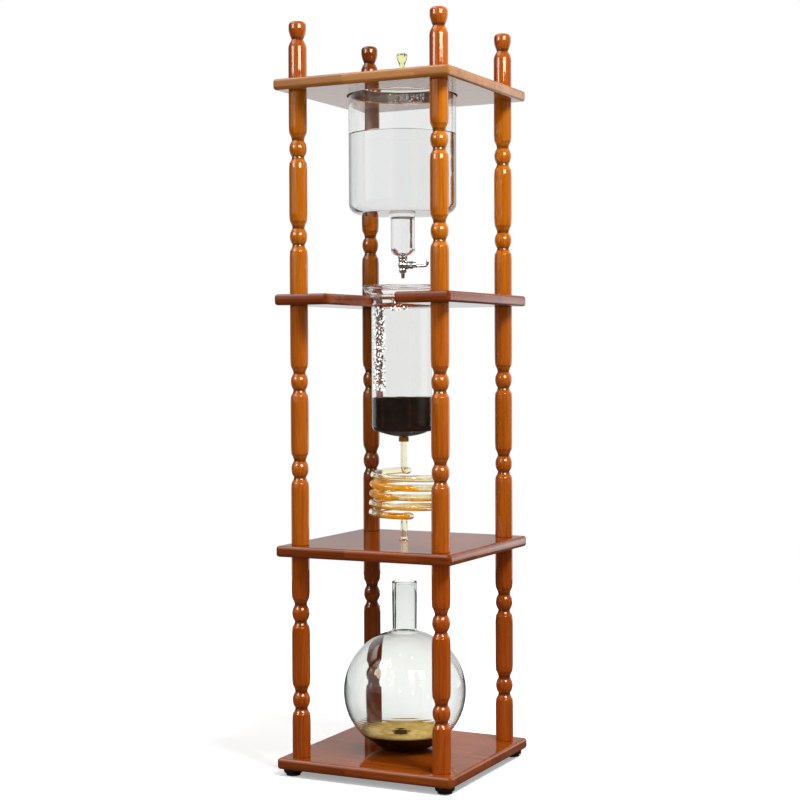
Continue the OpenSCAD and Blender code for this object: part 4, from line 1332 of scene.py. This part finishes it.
black = rubber("black_rubber_look", (10, 10, 11), (30, 29, 29))
seal = rubber("brown_black_seal", (22, 7, 5), (58, 22, 14), roughness=0.6, scale=300)
puck_wood = lacquered_wood("foot_wood", ((20, 9, 5), (34, 15, 8), (52, 24, 12)), (180, 180, 180))
feet = [(sx * FOOT, sy * FOOT) for sx, sy in CORNERS.values()]
pucks = joined([turned(puck_outline(), foot, COARSE_SEGMENTS) for foot in feet])
dress("foot_pucks", pucks, "frame", puck_wood)
pads = joined([turned(pad_outline(), foot, 48) for foot in feet])
dress("foot_pads", pads, "frame", black)
dress("vessel_gasket", turned(gasket_outline()), "frame", seal)

thick_glass = glass("vessel_glass", (0.99, 0.993, 0.99), 24)
dress("water_vessel", turned(vessel_outline(), segments=FINE_SEGMENTS), "vessel", thick_glass)
still_water = glass("still_water", (1.0, 1.0, 1.0), 0.5, ior=1.33, wave=0.0, shadow=0.99)
dress("vessel_water", turned(water_outline(), segments=FINE_SEGMENTS), "vessel", still_water)
# Drops that glow with a painted white glint
dew = dewdrop("dew")
chance = random.Random(11)
beads = [wall_spot(VESSEL_R - VESSEL_WALL, chance.uniform(-16, 26), chance.uniform(993, 1009),
                   chance.uniform(0.2, 0.42)) for _ in range(320)]
# Mist drops with a weaker painted glint
mist = dewdrop("mist_drops", painted_glint_glow=0.3)
new_piece("vessel_drops_look", drops(beads, 9), "vessel", mist)
lid_glass = glass("lid_glass", (0.97, 0.985, 0.975), 10)
dress("vessel_lid", turned(lid_outline()), "lid", lid_glass)
green_glass = glass("knob_green_glass", (0.88, 0.92, 0.46), 0, wave=0.3, wave_scale=260)
dress("lid_knob", turned(knob_outline(), segments=COARSE_SEGMENTS), "lid", green_glass)

chamber_glass = glass("chamber_glass", (0.975, 0.978, 0.966), 34)
chamber = turned(chamber_outline(), segments=FINE_SEGMENTS)
dress("coffee_chamber", chamber, "brewer", chamber_glass)
dress("filter_disc", turned(filter_outline()), "brewer", wet_felt("filter_felt_look"))
dress("coffee_grounds", grounds_mesh(), "brewer", coffee_bed("wet_grounds"))
amber = rubber("amber_rubber_look", (150, 92, 28), (190, 130, 52), roughness=0.4)
sleeve = turned(sleeve_outline(), segments=COARSE_SEGMENTS)
dress("outlet_sleeve", sleeve, "brewer", amber)

# Splashes on the sides of the chamber, and a row of them under its rim
chance = random.Random(7)
inside_r = CHAMBER_R - CHAMBER_WALL
splashes = []
for _ in range(420):
    side = (-76, -38) if chance.random() < 0.6 else (-142, -104)
    splashes.append(
        wall_spot(inside_r, chance.uniform(*side), chance.uniform(560, 684), chance.uniform(0.6, 1.4)))
splashes += [wall_spot(inside_r, chance.uniform(-26, 10), chance.uniform(680, 686), chance.uniform(0.6, 1.2))
             for _ in range(34)]
splash = dewdrop("coffee_splash", (0.10, 0.08, 0.06), 0.0)
new_piece("chamber_drops_look", drops(splashes[::2], 3), "brewer", splash)
new_piece("chamber_dew_look", drops(splashes[1::2], 4), "brewer", dew)

path = coil_path()
frames = ring_frames(path)
coil_clear = glass("coil_glass_look", (0.985, 0.965, 0.80), 8, wave=0.0)
tube = tube_between(frames, lambda r: r, lambda r: TUBE_BORE + max(0.0, (r - EXIT_STEM_R) * 0.9))
dress("glass_coil", tube, "brewer", coil_clear)

# Runs of coffee in the coil: from one angle along it to another, and what they fill
WET_R = TUBE_BORE + 0.1
FULL, SHALLOW = full_section(WET_R), shallow_section(WET_R, -0.9)
SLUGS = [(430, 686, FULL), (868, 1010, FULL), (1014, 1420, SHALLOW), (1440, 1580, FULL), (1686, 1752, FULL)]
runs = []
for start, end, section in SLUGS:
    part = [f for f, entry in zip(frames, path) if start <= entry[3] <= end]
    runs.append(slug_between(part, section))
new_piece("coil_coffee_look", joined(runs), "brewer", amber_coffee("coffee_in_coil"))

flask_glass = glass("flask_glass", (0.925, 0.93, 0.92), 80)
dress("flask", turned(flask_outline(), segments=FINE_SEGMENTS), "carafe", flask_glass)

# Drops in the flask, by how far right of its middle and at which row the photo shows them
flask_drops = [(-4.4, 664), (7.6, 667), (10.6, 682), (-13.4, 683.5), (-11.4, 687), (-12.4, 691), (16.6, 696),
               (19.6, 700), (-5.4, 702), (8.6, 704.5), (24.6, 706.6)]
flask_drops += [(chance.uniform(-26, -10), chance.uniform(668, 696)) for _ in range(14)]
spots = []
for aside, row in flask_drops:
    z = GLOBE_Z - (row - FLASK_MIDDLE_PX) / PX_PER_MM
    level_r = math.sqrt((GLOBE_R - FLASK_WALL) ** 2 - (z - GLOBE_Z) ** 2)
    angle = math.degrees(math.asin(aside / PX_PER_MM / level_r))
    spots.append(globe_spot(angle, z, chance.uniform(1.1, 1.7)))
new_piece("flask_drops_look", drops(spots, 5), "carafe", dew)
coffee = turned(brewed_outline(), segments=FINE_SEGMENTS)
dress("brewed_coffee", coffee, "carafe", brewed("brewed_coffee_look"))

chrome = metal("tap_chrome_look", (0.74, 0.75, 0.76), 0.06)
boss = lying(turned(boss_outline(), segments=48), TAP_AXIS_Z)
tap = joined([turned(tap_body_outline(), segments=COARSE_SEGMENTS), boss])
dress("tap_body", tap, "vessel", chrome)

# CAD nodes that show as they are
steel = metal("steel_look", (0.62, 0.61, 0.59), 0.28)
silicone = rubber("silicone_look", (196, 196, 190), (226, 226, 220), roughness=0.4)
cad_looks = {
    "tap_nozzle": chrome, "tap_packing_nut": chrome, "tap_plug": chrome, "tap_lever": chrome,
    "joint_studs": steel, "base_bolts": steel, "base_washers": steel, "tap_lever_pin": steel,
    "tap_sleeve": silicone,
}
for node, material in cad_looks.items():
    for holder in frame["nodes"][node].material_slots:
        holder.material = material

shiny_pieces = bpy.data.collections.new("shiny_pieces")
for piece in bpy.data.objects:
    if piece.type == "MESH" and not piece.name.startswith(FLAT_PIECES):
        shiny_pieces.objects.link(piece)
for lamp in HIGHLIGHTS:
    area_lamp(*lamp, shown_on=shiny_pieces)
